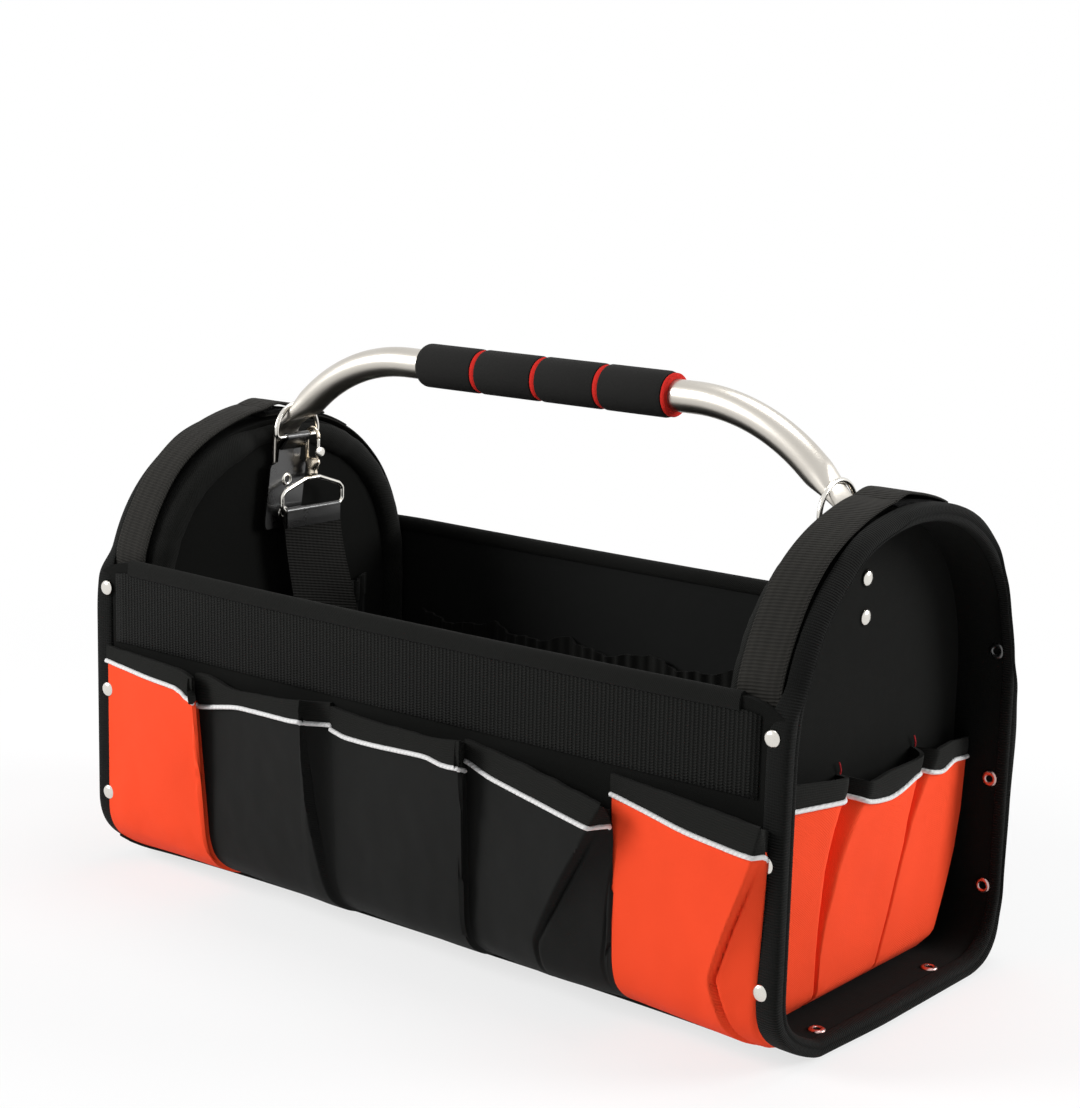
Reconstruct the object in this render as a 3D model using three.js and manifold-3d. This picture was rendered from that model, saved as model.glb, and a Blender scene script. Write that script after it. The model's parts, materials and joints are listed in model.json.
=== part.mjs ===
// Open-top tool bag with a tubular steel handle and a clip-on shoulder strap.
// Millimetres, +X along the bag, +Y to the back, +Z up, origin under the middle of the base.
import * as THREE from 'three';
import { mergeVertices } from 'three/addons/utils/BufferGeometryUtils.js';
import Module from 'manifold-3d';

const wasm = await Module();
wasm.setup();

// Body
const bagLength = 500;
const bagWidth = 236;
const wallHeight = 193;
const archHeight = 275;
const springHeight = 160;
const archPower = 2;
const archStep = 7.5;
const cornerRadius = 42;
const cornerSteps = 5;
const wallThickness = 4;
const rimThickness = 4;
const panelThickness = 6;
const panelRecess = 33;
const bindingThickness = 3.7;
const bindingMargin = 1;
const clearance = 0.3;

// Rivets
const rivetShank = 2.2;
const rivetHead = 4.8;
const rivetDome = 2;
const rivetShoulder = 3.4;
const rivetShoulderHeight = 1.5;
const rivetClinch = 3.8;
const rivetClinchThickness = 1;
const rivetInset = 12;
const rivetSides = 10;
const boreSides = 12;
const boreReach = 24;
const tabBoreReach = 48;
const rivetHeights = [47, 111, 175];

// Outside pockets on the front and the ends
const pocketCount = 5;
const pocketHeight = 136;
const pocketFoot = 14;
const pocketMouth = 13;
const pocketToe = 3;
const pocketSheet = 1.6;
const pocketSeam = 1;
const pocketWrap = 228 * Math.PI / 180;
const endPocketHeight = 127;
const endPocketWidth = 208;
const endPocketDepth = 12;
const endPocketCount = 3;

// Inside pockets
const innerPocketHeight = 135;
const innerPocketDepth = 9;
const innerPocketLength = 380;
const innerPocketCount = 5;
const endInnerHeight = 160;
const endInnerWidth = 150;
const endInnerCount = 3;
const innerPocketBottom = 48;

// Back pouch and its flap
const pouchCentre = 58;
const pouchLength = 256;
const pouchBottom = 42;
const pouchTop = 152;
const pouchDepth = 30;
const pouchSheet = 2;
const flapRise = 22;
const flapDrop = 70;
const flapStandoff = 6;
const flapFall = 10;
const flapMargin = 4;

// Handle
const tubeDiameter = 18;
const tubeWall = 1.5;
const tubeRise = 41;
const neckReach = 23.5;
const tubeBendRadius = 117;
const tubeSlope = 40 * Math.PI / 180;
const lugBendRadius = 14;
const lugWidth = 27;
const lugThickness = 4;
const lugLength = 44;
const lugRivetDrops = [35, 14];
const flatteningStart = 25;
const neckWidth = 20;
const flatteningPace = 1.6;
const lugSquareness = 5;
const neckShares = [0.2, 0.4, 0.55, 0.7, 0.85, 1];
const tubeBendSteps = 8;
const lugBendSteps = 4;
const gripSetback = 15;
const gripDiameter = 26;
const gripGroove = 1;
const gripGrooveWidth = 3;
const gripGrooveCount = 3;
const gripEdge = 2;
const gripEdgeLength = 3;
const gripSides = 20;
const tubeSides = 16;

// Leather tabs and D-rings
const tabThickness = 1.6;
const tabWidth = 31;
const tabNeck = 20;
const tabNeckLength = 14.5;
const ringWire = 3;
const ringHalfWidth = 18;
const ringHeight = 20.5;
const ringCorner = 3;
const ringCornerSteps = 3;
const ringArcSteps = 14;
const ringDrop = 12;
const ringSetback = 12.8;

// Snap hooks
const wireSides = 8;
const wireSteps = 20;
const hookSide = 13.4;
const hookWire = 2.4;
const hookBow = 5;
const hookBowSetback = 13.6;
const hookBowDrop = 1.3;
const hookLegLength = 14;
const hookNose = 1;
const gateFootGap = 0.8;
const hookBaseHeight = 11;
const hookBaseDepth = 7;
const swivelRadius = 1.8;
const swivelHead = 3;
const swivelHeadThickness = 1.4;
const eyeWidth = 54;
const eyeNeck = 12;
const eyeShoulder = 7;
const eyeHeight = 12;
const eyeWire = 3;

// Shoulder strap, laid in the bag
const strapWidth = 50;
const strapThickness = 2.2;
const strapFloorRadius = 60;
const strapBendSteps = 8;
const strapFloorGap = 0.5;
const sliderPlace = -30;
const sliderLength = 26;
const sliderThickness = 7;
const sliderMargin = 4;

// Webbing straps over the arched ends
const webbingWidth = 25;
const webbingThickness = 1.8;
const webbingInset = 9;
const webbingFront = 18;
const webbingFold = 84;
const webbingTip = 106;
const webbingBack = 162;
const webbingGap = 0.4;
const webbingStep = 8;

// Colours
const blackCloth = { color: 0x0d0d0d, roughness: 0.9, metalness: 0 };
const orangeCloth = { color: 0xe8421c, roughness: 0.8, metalness: 0 };
const blackFoam = { color: 0x202020, roughness: 0.95, metalness: 0 };
const blackLeather = { color: 0x0b0b0b, roughness: 0.3, metalness: 0 };
const steel = { color: 0xc9c6c0, roughness: 0.2, metalness: 1 };

const bag = new THREE.Group();

const halfLength = bagLength / 2;
const halfWidth = bagWidth / 2;
const bodyEnd = halfLength - bindingThickness - clearance;
const panelOuter = halfLength - panelRecess;
const panelInner = panelOuter - panelThickness;
const rimInset = wallThickness + clearance;
const panelInset = rimInset + rimThickness + clearance;
const degree = Math.PI / 180;

// The handle's places, from the lugs on the end panels up the necks to the grip
const tubeHeight = archHeight + tubeRise;
const ringX = panelInner - ringSetback;
const lugX = panelInner - clearance - lugThickness / 2;
const neckEnd = lugX - lugBendRadius * (1 - Math.sin(tubeSlope));
const bendEnd = neckEnd - neckReach;
const tubeStraight = bendEnd - tubeBendRadius * Math.sin(tubeSlope);
const gripLength = 2 * (tubeStraight - gripSetback);
const bendFall = tubeBendRadius * (1 - Math.cos(tubeSlope));
const neckHeight = tubeHeight - bendFall - (ringX - bendEnd) * Math.tan(tubeSlope);
const ringHeightAboveFloor = neckHeight - ringDrop;
const tabShoulder = ringHeightAboveFloor - tabNeckLength;
const lugBottom = tabShoulder - lugLength;
const lugRivetHeights = lugRivetDrops.map((drop) => tabShoulder - drop);

// Helpers

function add(name, geometry, finish) {
  const mesh = new THREE.Mesh(geometry, new THREE.MeshStandardMaterial(finish));
  mesh.name = name;
  bag.add(mesh);
}

function solid(geometry) {
  const bare = geometry.clone();
  bare.deleteAttribute('normal');
  bare.deleteAttribute('uv');
  const merged = mergeVertices(bare, 1e-4);
  const vertProperties = new Float32Array(merged.attributes.position.array);
  const triVerts = new Uint32Array(merged.index.array);
  return new wasm.Manifold(new wasm.Mesh({ numProp: 3, vertProperties, triVerts }));
}

function geometryOf(body) {
  const mesh = body.getMesh();
  const geometry = new THREE.BufferGeometry();
  geometry.setAttribute('position', new THREE.BufferAttribute(new Float32Array(mesh.vertProperties), 3));
  geometry.setIndex(new THREE.BufferAttribute(new Uint32Array(mesh.triVerts), 1));
  geometry.computeVertexNormals();
  return geometry;
}

function shapeOf(points, hole) {
  const shape = new THREE.Shape(points.map(([a, b]) => new THREE.Vector2(a, b)));
  if (hole) {
    shape.holes.push(new THREE.Path(hole.map(([a, b]) => new THREE.Vector2(a, b))));
  }
  return shape;
}

function extrude(points, depth, hole) {
  return new THREE.ExtrudeGeometry(shapeOf(points, hole), { depth, bevelEnabled: false, steps: 1 });
}

// An outline in (y, z), carried along X from one place to the other.
function alongX(points, from, to, hole) {
  const turn = new THREE.Matrix4().makeBasis(
    new THREE.Vector3(0, 1, 0), new THREE.Vector3(0, 0, 1), new THREE.Vector3(1, 0, 0));
  return extrude(points, to - from, hole).applyMatrix4(turn).translate(from, 0, 0);
}

// An outline in (x, z), carried along Y from one place to the other.
function alongY(points, from, to, hole) {
  const turn = new THREE.Matrix4().makeBasis(
    new THREE.Vector3(1, 0, 0), new THREE.Vector3(0, 0, 1), new THREE.Vector3(0, -1, 0));
  return extrude(points, to - from, hole).applyMatrix4(turn).translate(0, to, 0);
}

function block(low, high) {
  const size = high.map((value, i) => value - low[i]);
  const middle = high.map((value, i) => (value + low[i]) / 2);
  return new THREE.BoxGeometry(...size).translate(...middle);
}

function mirrored(geometry) {
  const flipped = geometry.clone().applyMatrix4(new THREE.Matrix4().makeScale(-1, 1, 1));
  const source = flipped.index ? flipped : mergeVertices(flipped);
  const index = source.index.array;
  for (let i = 0; i < index.length; i += 3) {
    [index[i + 1], index[i + 2]] = [index[i + 2], index[i + 1]];
  }
  source.computeVertexNormals();
  return source;
}

// A piece of the right end, and its mirror image at the left end.
function addEnds(name, geometry, finish) {
  add(`right_${name}`, geometry, finish);
  add(`left_${name}`, mirrored(geometry), finish);
}

function arc(cx, cy, radius, from, to, steps) {
  const points = [];
  for (let i = 0; i <= steps; i += 1) {
    const angle = from + (to - from) * i / steps;
    points.push([cx + radius * Math.cos(angle), cy + radius * Math.sin(angle)]);
  }
  return points;
}

// A point of the arch in (y, z): angle 0 at the front spring, 180 at the back.
function archPoint(angle, inset) {
  const c = Math.cos(angle * degree);
  const s = Math.sin(angle * degree);
  const across = Math.sign(c) * Math.abs(c) ** (2 / archPower);
  const up = Math.abs(s) ** (2 / archPower);
  const rise = archHeight - springHeight - inset;
  return [-(halfWidth - inset) * across, springHeight + rise * up];
}

// The outline of an end in (y, z), drawn in by an inset.
function endOutline(inset) {
  const radius = cornerRadius - inset;
  const flat = halfWidth - cornerRadius;
  const points = arc(flat, cornerRadius, radius, -90 * degree, 0, cornerSteps);
  for (let angle = 180; angle >= 0; angle -= archStep) {
    points.push(archPoint(angle, inset));
  }
  return points.concat(arc(-flat, cornerRadius, radius, -180 * degree, -90 * degree, cornerSteps));
}

// A stretch of webbing over the arch, in (y, z), between two angles.
function webbingOutline(from, to, outerInset) {
  const steps = Math.max(2, Math.round(Math.abs(to - from) / webbingStep));
  const angles = Array.from({ length: steps + 1 }, (_, i) => from + (to - from) * i / steps);
  const outer = angles.map((angle) => archPoint(angle, outerInset));
  const inner = angles.map((angle) => archPoint(angle, outerInset + webbingThickness));
  return outer.reverse().concat(inner);
}

// A round wire along an open path, with closed ends.
function wire(points, diameter) {
  const curve = new THREE.CatmullRomCurve3(points.map((p) => new THREE.Vector3(...p)), false, 'centripetal');
  const section = shapeOf(arc(0, 0, diameter / 2, 0, 2 * Math.PI, wireSides).slice(0, -1));
  return new THREE.ExtrudeGeometry(section, { extrudePath: curve, steps: wireSteps });
}

// A round wire along a closed loop in (y, z), in the plane at one X.
function wireLoop(points, diameter, x) {
  const sides = wireSides;
  const count = points.length;
  const positions = [];
  const index = [];
  for (let i = 0; i < count; i += 1) {
    const [y, z] = points[i];
    const [ya, za] = points[(i + count - 1) % count];
    const [yb, zb] = points[(i + 1) % count];
    const length = Math.hypot(yb - ya, zb - za);
    const outY = (zb - za) / length;
    const outZ = -(yb - ya) / length;
    for (let k = 0; k < sides; k += 1) {
      const angle = 2 * Math.PI * k / sides;
      const out = diameter / 2 * Math.cos(angle);
      positions.push(x + diameter / 2 * Math.sin(angle), y + out * outY, z + out * outZ);
    }
  }
  for (let i = 0; i < count; i += 1) {
    const next = (i + 1) % count;
    for (let k = 0; k < sides; k += 1) {
      const turn = (k + 1) % sides;
      const a = i * sides + k;
      const b = next * sides + k;
      const c = next * sides + turn;
      const d = i * sides + turn;
      index.push(a, b, c, a, c, d);
    }
  }
  const geometry = new THREE.BufferGeometry();
  geometry.setAttribute('position', new THREE.Float32BufferAttribute(positions, 3));
  geometry.setIndex(index);
  geometry.computeVertexNormals();
  return geometry;
}

// A drill through a wall at one place, along X, Y or Z.
function drill(place, along, radius, length) {
  const bore = new THREE.CylinderGeometry(radius, radius, length, boreSides);
  if (along === 'x') {
    bore.rotateZ(90 * degree);
  }
  if (along === 'z') {
    bore.rotateX(90 * degree);
  }
  return solid(bore.translate(...place));
}

function bored(geometry, places, along, length) {
  let body = solid(geometry);
  for (const place of places) {
    body = body.subtract(drill(place, along, rivetShank + clearance, length));
  }
  return geometryOf(body);
}

// A rivet with its domed head towards +Y and its clinched end at -Y, the two faces a grip apart.
function rivet(grip) {
  const inner = -grip - clearance;
  const profile = [
    [0, inner - rivetClinchThickness],
    [rivetClinch, inner - rivetClinchThickness],
    [rivetClinch, inner],
    [rivetShank, inner],
    [rivetShank, clearance],
    [rivetHead, clearance],
    [rivetShoulder, clearance + rivetShoulderHeight],
    [0, clearance + rivetDome],
  ];
  return new THREE.LatheGeometry(profile.map(([r, y]) => new THREE.Vector2(r, y)), rivetSides);
}

// Body: the base with its rounded edges, the two walls, and the arched ends

const flatHalf = halfWidth - cornerRadius;
const baseInner = cornerRadius - wallThickness;
const baseOutline = [
  ...arc(-flatHalf, cornerRadius, cornerRadius, -180 * degree, -90 * degree, cornerSteps),
  ...arc(flatHalf, cornerRadius, cornerRadius, -90 * degree, 0, cornerSteps),
  ...arc(flatHalf, cornerRadius, baseInner, 0, -90 * degree, cornerSteps),
  ...arc(-flatHalf, cornerRadius, baseInner, -90 * degree, -180 * degree, cornerSteps),
];
add('base', alongX(baseOutline, -bodyEnd, bodyEnd), blackCloth);

const rivetX = halfLength - rivetInset;
const wallRivets = [-rivetX, rivetX].flatMap((x) => rivetHeights.map((z) => [x, 0, z]));
const wallLow = cornerRadius + clearance;

function wall(side) {
  const outer = side * halfWidth;
  const inner = side * (halfWidth - wallThickness);
  const slab = block(
    [-bodyEnd, Math.min(outer, inner), wallLow],
    [bodyEnd, Math.max(outer, inner), wallHeight]);
  return bored(slab, wallRivets.map(([x, , z]) => [x, outer, z]), 'y', boreReach);
}

add('front_wall', wall(-1), blackCloth);
add('back_wall', wall(1), blackCloth);

const rimBores = rivetHeights.flatMap((z) => [[rivetX, -halfWidth, z], [rivetX, halfWidth, z]]);
const rimRing = alongX(
  endOutline(rimInset), panelInner, bodyEnd, endOutline(rimInset + rimThickness));
addEnds('end_rim', bored(rimRing, rimBores, 'y', boreReach), blackCloth);

const tabBores = lugRivetHeights.map((z) => [panelInner, 0, z]);
const panelPlate = alongX(endOutline(panelInset), panelInner, panelOuter);
addEnds('end_panel', bored(panelPlate, tabBores, 'x', tabBoreReach), blackCloth);

const bindingRing = alongX(
  endOutline(0), halfLength - bindingThickness, halfLength,
  endOutline(rimInset + rimThickness + bindingMargin));
addEnds('edge_binding', bindingRing, blackCloth);

// Rivets through the walls and the rims

// The distance from the wall's face to the inside of the rim at a height.
function rimDepth(z) {
  const inset = rimInset + rimThickness;
  const share = Math.max(0, z - springHeight) / (archHeight - springHeight - inset);
  return halfWidth - (halfWidth - inset) * (1 - share ** archPower) ** (1 / archPower);
}

for (const [side, wallName] of [[-1, 'front'], [1, 'back']]) {
  rivetHeights.forEach((z, i) => {
    const upright = rivet(rimDepth(z + rivetClinch));
    const turned = side > 0 ? upright : upright.rotateZ(180 * degree);
    addEnds(`${wallName}_rivet_${i + 1}`, turned.translate(rivetX, side * halfWidth, z), steel);
  });
}

// Webbing straps over the arches

const webbingOuter = halfLength - webbingInset;
const webbingInner = webbingOuter - webbingWidth;
const lowLayer = rimInset - clearance - webbingThickness;
const highLayer = lowLayer - clearance - webbingThickness;
const frontWebbing = webbingOutline(webbingFront, webbingFold, lowLayer);
const tipWebbing = webbingOutline(webbingFold + webbingGap, webbingTip, highLayer);
const backWebbing = webbingOutline(webbingFold + webbingGap, webbingBack, lowLayer);
addEnds('arch_strap_front', alongX(frontWebbing, webbingInner, webbingOuter), blackCloth);
addEnds('arch_strap_tip', alongX(tipWebbing, webbingInner, webbingOuter), blackCloth);
addEnds('arch_strap_back', alongX(backWebbing, webbingInner, webbingOuter), blackCloth);

// Front pockets: sheets that stand off the wall at the mouth and follow it round the lower edge

const pocketPitch = (2 * bodyEnd - 2 * rivetInset) / pocketCount;
const wallFace = -halfWidth - clearance;

// A pocket's outline in (y, z), standing off the wall by the mouth at the top and the toe below.
const footRadius = cornerRadius + clearance;
const pocketOutline = [
  [wallFace - pocketMouth, pocketHeight],
  ...arc(-flatHalf, cornerRadius, footRadius + pocketToe, 180 * degree, pocketWrap, cornerSteps),
  ...arc(-flatHalf, cornerRadius, footRadius, pocketWrap, 180 * degree, cornerSteps),
  [wallFace, pocketHeight],
];
const pocketRoom = [
  [wallFace - pocketMouth + pocketSheet, pocketHeight + pocketSheet],
  [wallFace - pocketToe - pocketSheet / 2, cornerRadius + pocketFoot],
  [wallFace + pocketSheet, cornerRadius + pocketFoot],
  [wallFace + pocketSheet, pocketHeight + pocketSheet],
];
for (let i = 0; i < pocketCount; i += 1) {
  const from = (i - pocketCount / 2) * pocketPitch + pocketSeam / 2;
  const to = from + pocketPitch - pocketSeam;
  const whole = solid(alongX(pocketOutline, from, to));
  const room = solid(alongX(pocketRoom, from + pocketSheet, to - pocketSheet));
  const finish = i === 0 || i === pocketCount - 1 ? orangeCloth : blackCloth;
  add(`front_pocket_${i + 1}`, geometryOf(whole.subtract(room)), finish);
}

// A row of flat pockets, open at the top: a shell against a wall at the low face of one axis.
function pocketRow(low, high, count, axis, wallAtHigh, floor) {
  let row = solid(block(low, high));
  const across = axis === 'y' ? 0 : 1;
  const deep = 1 - across;
  const pitch = (high[across] - low[across] - pocketSheet) / count;
  for (let i = 0; i < count; i += 1) {
    const roomLow = [...low];
    const roomHigh = [...high];
    roomLow[across] = low[across] + pocketSheet + i * pitch;
    roomHigh[across] = low[across] + (i + 1) * pitch;
    roomLow[deep] += wallAtHigh ? pocketSheet : -pocketSheet;
    roomHigh[deep] += wallAtHigh ? pocketSheet : -pocketSheet;
    roomLow[2] += floor;
    roomHigh[2] += pocketSheet;
    row = row.subtract(solid(block(roomLow, roomHigh)));
  }
  return geometryOf(row);
}

const endPocketLow = [panelOuter + clearance, -endPocketWidth / 2, panelInset + clearance];
const endPocketHigh = [panelOuter + clearance + endPocketDepth, endPocketWidth / 2, endPocketHeight];
const endPocketBox = pocketRow(endPocketLow, endPocketHigh, endPocketCount, 'x', false, pocketSheet);
const recessLimit = solid(alongX(endOutline(panelInset), panelOuter, halfLength));
addEnds('end_pocket', geometryOf(solid(endPocketBox).intersect(recessLimit)), orangeCloth);

// Inside pockets on the walls and the end panels

const innerFace = halfWidth - wallThickness - clearance;
const innerEnd = innerPocketLength / 2;
add('front_inner_pockets', pocketRow(
  [-innerEnd, -innerFace, innerPocketBottom],
  [innerEnd, -innerFace + innerPocketDepth, innerPocketHeight],
  innerPocketCount, 'y', false, pocketSheet), blackCloth);
add('back_inner_pockets', pocketRow(
  [-innerEnd, innerFace - innerPocketDepth, innerPocketBottom],
  [innerEnd, innerFace, innerPocketHeight],
  innerPocketCount, 'y', true, pocketSheet), blackCloth);
addEnds('end_inner_pockets', pocketRow(
  [panelInner - clearance - innerPocketDepth, -endInnerWidth / 2, innerPocketBottom],
  [panelInner - clearance, endInnerWidth / 2, endInnerHeight],
  endInnerCount, 'x', true, pocketSheet), blackCloth);

// Back pouch and its flap

const pouchFace = halfWidth + clearance;
const pouchWest = pouchCentre - pouchLength / 2;
const pouchEast = pouchCentre + pouchLength / 2;
const flapSeat = pouchTop + flapRise;
const flapReach = pouchDepth + flapStandoff;
add('back_pouch', pocketRow(
  [pouchWest, pouchFace, pouchBottom],
  [pouchEast, pouchFace + pouchDepth, pouchTop],
  1, 'y', false, pouchSheet), blackCloth);
const flapOutline = [
  [pouchFace, flapSeat],
  [pouchFace + flapReach, flapSeat - flapFall],
  [pouchFace + flapReach, flapSeat - flapDrop],
  [pouchFace + flapReach - pouchSheet, flapSeat - flapDrop],
  [pouchFace + flapReach - pouchSheet, flapSeat - flapFall - pouchSheet],
  [pouchFace, flapSeat - pouchSheet],
].reverse();
add('back_flap', alongX(flapOutline, pouchWest - flapMargin, pouchEast + flapMargin), blackCloth);

// Handle: a steel tube bent down at both ends and pressed flat into lugs on the end panels

// The right half of the tube's middle line, from the centre to the lug's lower end.
function tubeLine() {
  const line = [{ x: 0, z: tubeHeight, slope: 0, flat: 0, width: tubeDiameter }];
  const gripEnd = gripLength / 2 + gripEdge;
  line.push({ x: gripEnd, z: tubeHeight, slope: 0, flat: 0, width: tubeDiameter });
  for (let i = 0; i <= tubeBendSteps; i += 1) {
    const slope = tubeSlope * i / tubeBendSteps;
    line.push({
      x: tubeStraight + tubeBendRadius * Math.sin(slope),
      z: tubeHeight - tubeBendRadius * (1 - Math.cos(slope)),
      slope,
      flat: 0,
      width: tubeDiameter,
    });
  }
  const start = line[line.length - 1];
  const run = neckReach / Math.cos(tubeSlope);
  const shareToFlat = 1 - flatteningStart / run;
  for (const share of neckShares) {
    const flat = Math.min(1, Math.max(0, (share - shareToFlat) / (1 - shareToFlat) * flatteningPace));
    line.push({
      x: start.x + run * share * Math.cos(tubeSlope),
      z: start.z - run * share * Math.sin(tubeSlope),
      slope: tubeSlope,
      flat,
      width: tubeDiameter + (neckWidth - tubeDiameter) * flat,
    });
  }
  const corner = line[line.length - 1];
  for (let i = 1; i <= lugBendSteps; i += 1) {
    const slope = tubeSlope + (90 * degree - tubeSlope) * i / lugBendSteps;
    line.push({
      x: corner.x + lugBendRadius * (Math.sin(slope) - Math.sin(tubeSlope)),
      z: corner.z - lugBendRadius * (Math.cos(tubeSlope) - Math.cos(slope)),
      slope,
      flat: 1,
      width: neckWidth + (lugWidth - neckWidth) * i / lugBendSteps,
    });
  }
  line.push({ x: lugX, z: lugBottom, slope: 90 * degree, flat: 1, width: lugWidth });
  return line;
}

// The tube's section, from round at flat 0 to a pressed lug at flat 1, drawn in by an inset.
function tubeSection(flat, width, inset, sides) {
  const across = width / 2 - inset;
  const thick = tubeDiameter / 2 * (1 - flat) + lugThickness / 2 * flat - inset;
  const power = 2 + (lugSquareness - 2) * flat;
  return Array.from({ length: sides }, (_, k) => {
    const angle = 2 * Math.PI * k / sides;
    const c = Math.cos(angle);
    const s = Math.sin(angle);
    return [
      across * Math.sign(c) * Math.abs(c) ** (2 / power),
      thick * Math.sign(s) * Math.abs(s) ** (2 / power),
    ];
  });
}

function tubeGeometry() {
  const right = tubeLine();
  const left = right.slice(1).reverse().map((p) => ({ ...p, x: -p.x, slope: -p.slope }));
  const line = [...left, ...right];
  const sides = tubeSides;
  const positions = [];
  const index = [];
  for (const inset of [0, tubeWall]) {
    for (const p of line) {
      for (const [across, up] of tubeSection(p.flat, p.width, inset, sides)) {
        positions.push(p.x + up * Math.sin(p.slope), across, p.z + up * Math.cos(p.slope));
      }
    }
  }
  const count = line.length;
  const inner = count * sides;
  for (let i = 0; i < count - 1; i += 1) {
    for (let k = 0; k < sides; k += 1) {
      const turn = (k + 1) % sides;
      const a = i * sides + k;
      const b = i * sides + turn;
      const c = (i + 1) * sides + turn;
      const d = (i + 1) * sides + k;
      index.push(a, b, c, a, c, d);
      index.push(inner + a, inner + c, inner + b, inner + a, inner + d, inner + c);
    }
  }
  const last = (count - 1) * sides;
  for (let k = 0; k < sides; k += 1) {
    const turn = (k + 1) % sides;
    index.push(k, inner + turn, turn, k, inner + k, inner + turn);
    index.push(last + k, last + turn, inner + last + turn, last + k, inner + last + turn, inner + last + k);
  }
  const geometry = new THREE.BufferGeometry();
  geometry.setAttribute('position', new THREE.Float32BufferAttribute(positions, 3));
  geometry.setIndex(index);
  return geometry;
}

const lugBores = [-lugX, lugX].flatMap((x) => lugRivetHeights.map((z) => [x, 0, z]));
add('handle_tube', bored(tubeGeometry(), lugBores, 'x', 3 * lugThickness), steel);

function gripProfile() {
  const outer = gripDiameter / 2;
  const bore = tubeDiameter / 2 + clearance;
  const half = gripLength / 2;
  const profile = [[bore, -half], [outer - gripEdge, -half], [outer, -half + gripEdgeLength]];
  const pitch = gripLength / (gripGrooveCount + 1);
  for (let i = 1; i <= gripGrooveCount; i += 1) {
    const middle = -half + i * pitch;
    profile.push([outer, middle - gripGrooveWidth / 2]);
    profile.push([outer - gripGroove, middle - gripGrooveWidth / 2]);
    profile.push([outer - gripGroove, middle + gripGrooveWidth / 2]);
    profile.push([outer, middle + gripGrooveWidth / 2]);
  }
  profile.push([outer, half - gripEdgeLength], [outer - gripEdge, half]);
  profile.push([bore, half], [bore, -half]);
  return profile.map(([r, y]) => new THREE.Vector2(r, y));
}

const grip = new THREE.LatheGeometry(gripProfile(), gripSides).rotateZ(-90 * degree);
add('handle_grip', grip.translate(0, 0, tubeHeight), blackFoam);

// Leather tabs over the lugs, each holding the bar of a D-ring in its top fold

const tabOuter = lugX - lugThickness / 2 - clearance;
const foldRadius = ringWire / 2 + clearance + tabThickness;
const tabTop = ringHeightAboveFloor - ringWire / 2 - clearance;
const tabOutline = [
  [-tabWidth / 2, lugBottom],
  [tabWidth / 2, lugBottom],
  [tabWidth / 2, tabShoulder - foldRadius],
  [tabNeck / 2, tabShoulder],
  [tabNeck / 2, tabTop],
  [-tabNeck / 2, tabTop],
  [-tabNeck / 2, tabShoulder],
  [-tabWidth / 2, tabShoulder - foldRadius],
];
const foldOutline = arc(ringX, ringHeightAboveFloor, foldRadius, 0, 2 * Math.PI, boreSides).slice(0, -1);
const tunnelRadius = ringWire / 2 + clearance;
const foldBore = arc(ringX, ringHeightAboveFloor, tunnelRadius, 0, 2 * Math.PI, boreSides).slice(0, -1);
const tabSheet = solid(alongX(tabOutline, tabOuter - tabThickness, tabOuter));
const tabFold = solid(alongY(foldOutline, -tabNeck / 2, tabNeck / 2));
const tabTunnel = solid(alongY(foldBore, -tabNeck, tabNeck));
const tabBridge = solid(block(
  [ringX, -tabNeck / 2, tabShoulder],
  [tabOuter, tabNeck / 2, tabTop]));
const tabBody = tabSheet.add(tabBridge).add(tabFold).subtract(tabTunnel);
addEnds('tab', bored(geometryOf(tabBody), tabBores, 'x', tabBoreReach), blackLeather);

const tabGrip = panelOuter - (tabOuter - tabThickness);
lugRivetHeights.forEach((z, i) => {
  const turned = rivet(tabGrip).rotateZ(-90 * degree).translate(panelOuter, 0, z);
  addEnds(`tab_rivet_${i + 1}`, turned, steel);
});

const ringLow = ringHeightAboveFloor;
const ringBend = ringHalfWidth - ringCorner;
const ringArcCentre = ringLow + ringHeight - ringHalfWidth;
const ringOutline = [
  [-tabNeck / 2, ringLow],
  [0, ringLow],
  [tabNeck / 2, ringLow],
  ...arc(ringBend, ringLow + ringCorner, ringCorner, -90 * degree, 0, ringCornerSteps),
  ...arc(0, ringArcCentre + ringCorner, ringHalfWidth, 0, 180 * degree, ringArcSteps).map(([y, z]) => {
    const drop = ringCorner * Math.max(0, (z - ringArcCentre - ringCorner) / ringHalfWidth);
    return [y, z - drop];
  }).slice(1, -1),
  ...arc(-ringBend, ringLow + ringCorner, ringCorner, -180 * degree, -90 * degree, ringCornerSteps),
];
addEnds('d_ring', wireLoop(ringOutline, ringWire, ringX), steel);

// Snap hooks: bow and base, sprung gate, and the swivelling eye that holds the strap

const hookX = panelInner - hookBowSetback;
const bowHeight = ringHeightAboveFloor - hookBowDrop;
const legBottom = bowHeight - hookLegLength;
const baseLow = legBottom - hookBaseHeight;
const bowPath = [
  [hookX + hookBow, legBottom - hookWire],
  [hookX + hookBow, bowHeight],
  ...arc(hookX, bowHeight, hookBow, 0, 180 * degree, wireSides).slice(1),
  [hookX - hookBow, bowHeight - hookNose],
].map((p) => [p[0], hookSide, p[1]]);
const bow = solid(wire(bowPath, hookWire));
const hookBase = solid(block(
  [hookX - hookBow - hookWire / 2, hookSide - hookBaseDepth / 2, baseLow],
  [hookX + hookBow + hookWire / 2, hookSide + hookBaseDepth / 2, legBottom]));
const swivelBore = drill([hookX, hookSide, baseLow], 'z', swivelRadius + clearance, 4 * hookBaseHeight);
addEnds('hook', geometryOf(bow.add(hookBase).subtract(swivelBore)), steel);

const gateLow = legBottom + gateFootGap;
const gateHigh = bowHeight - hookNose - clearance;
addEnds('hook_gate', block(
  [hookX - hookBow - hookWire / 2, hookSide - hookWire / 2, gateLow],
  [hookX - hookBow + hookWire / 2, hookSide + hookWire / 2, gateHigh]), steel);

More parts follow.
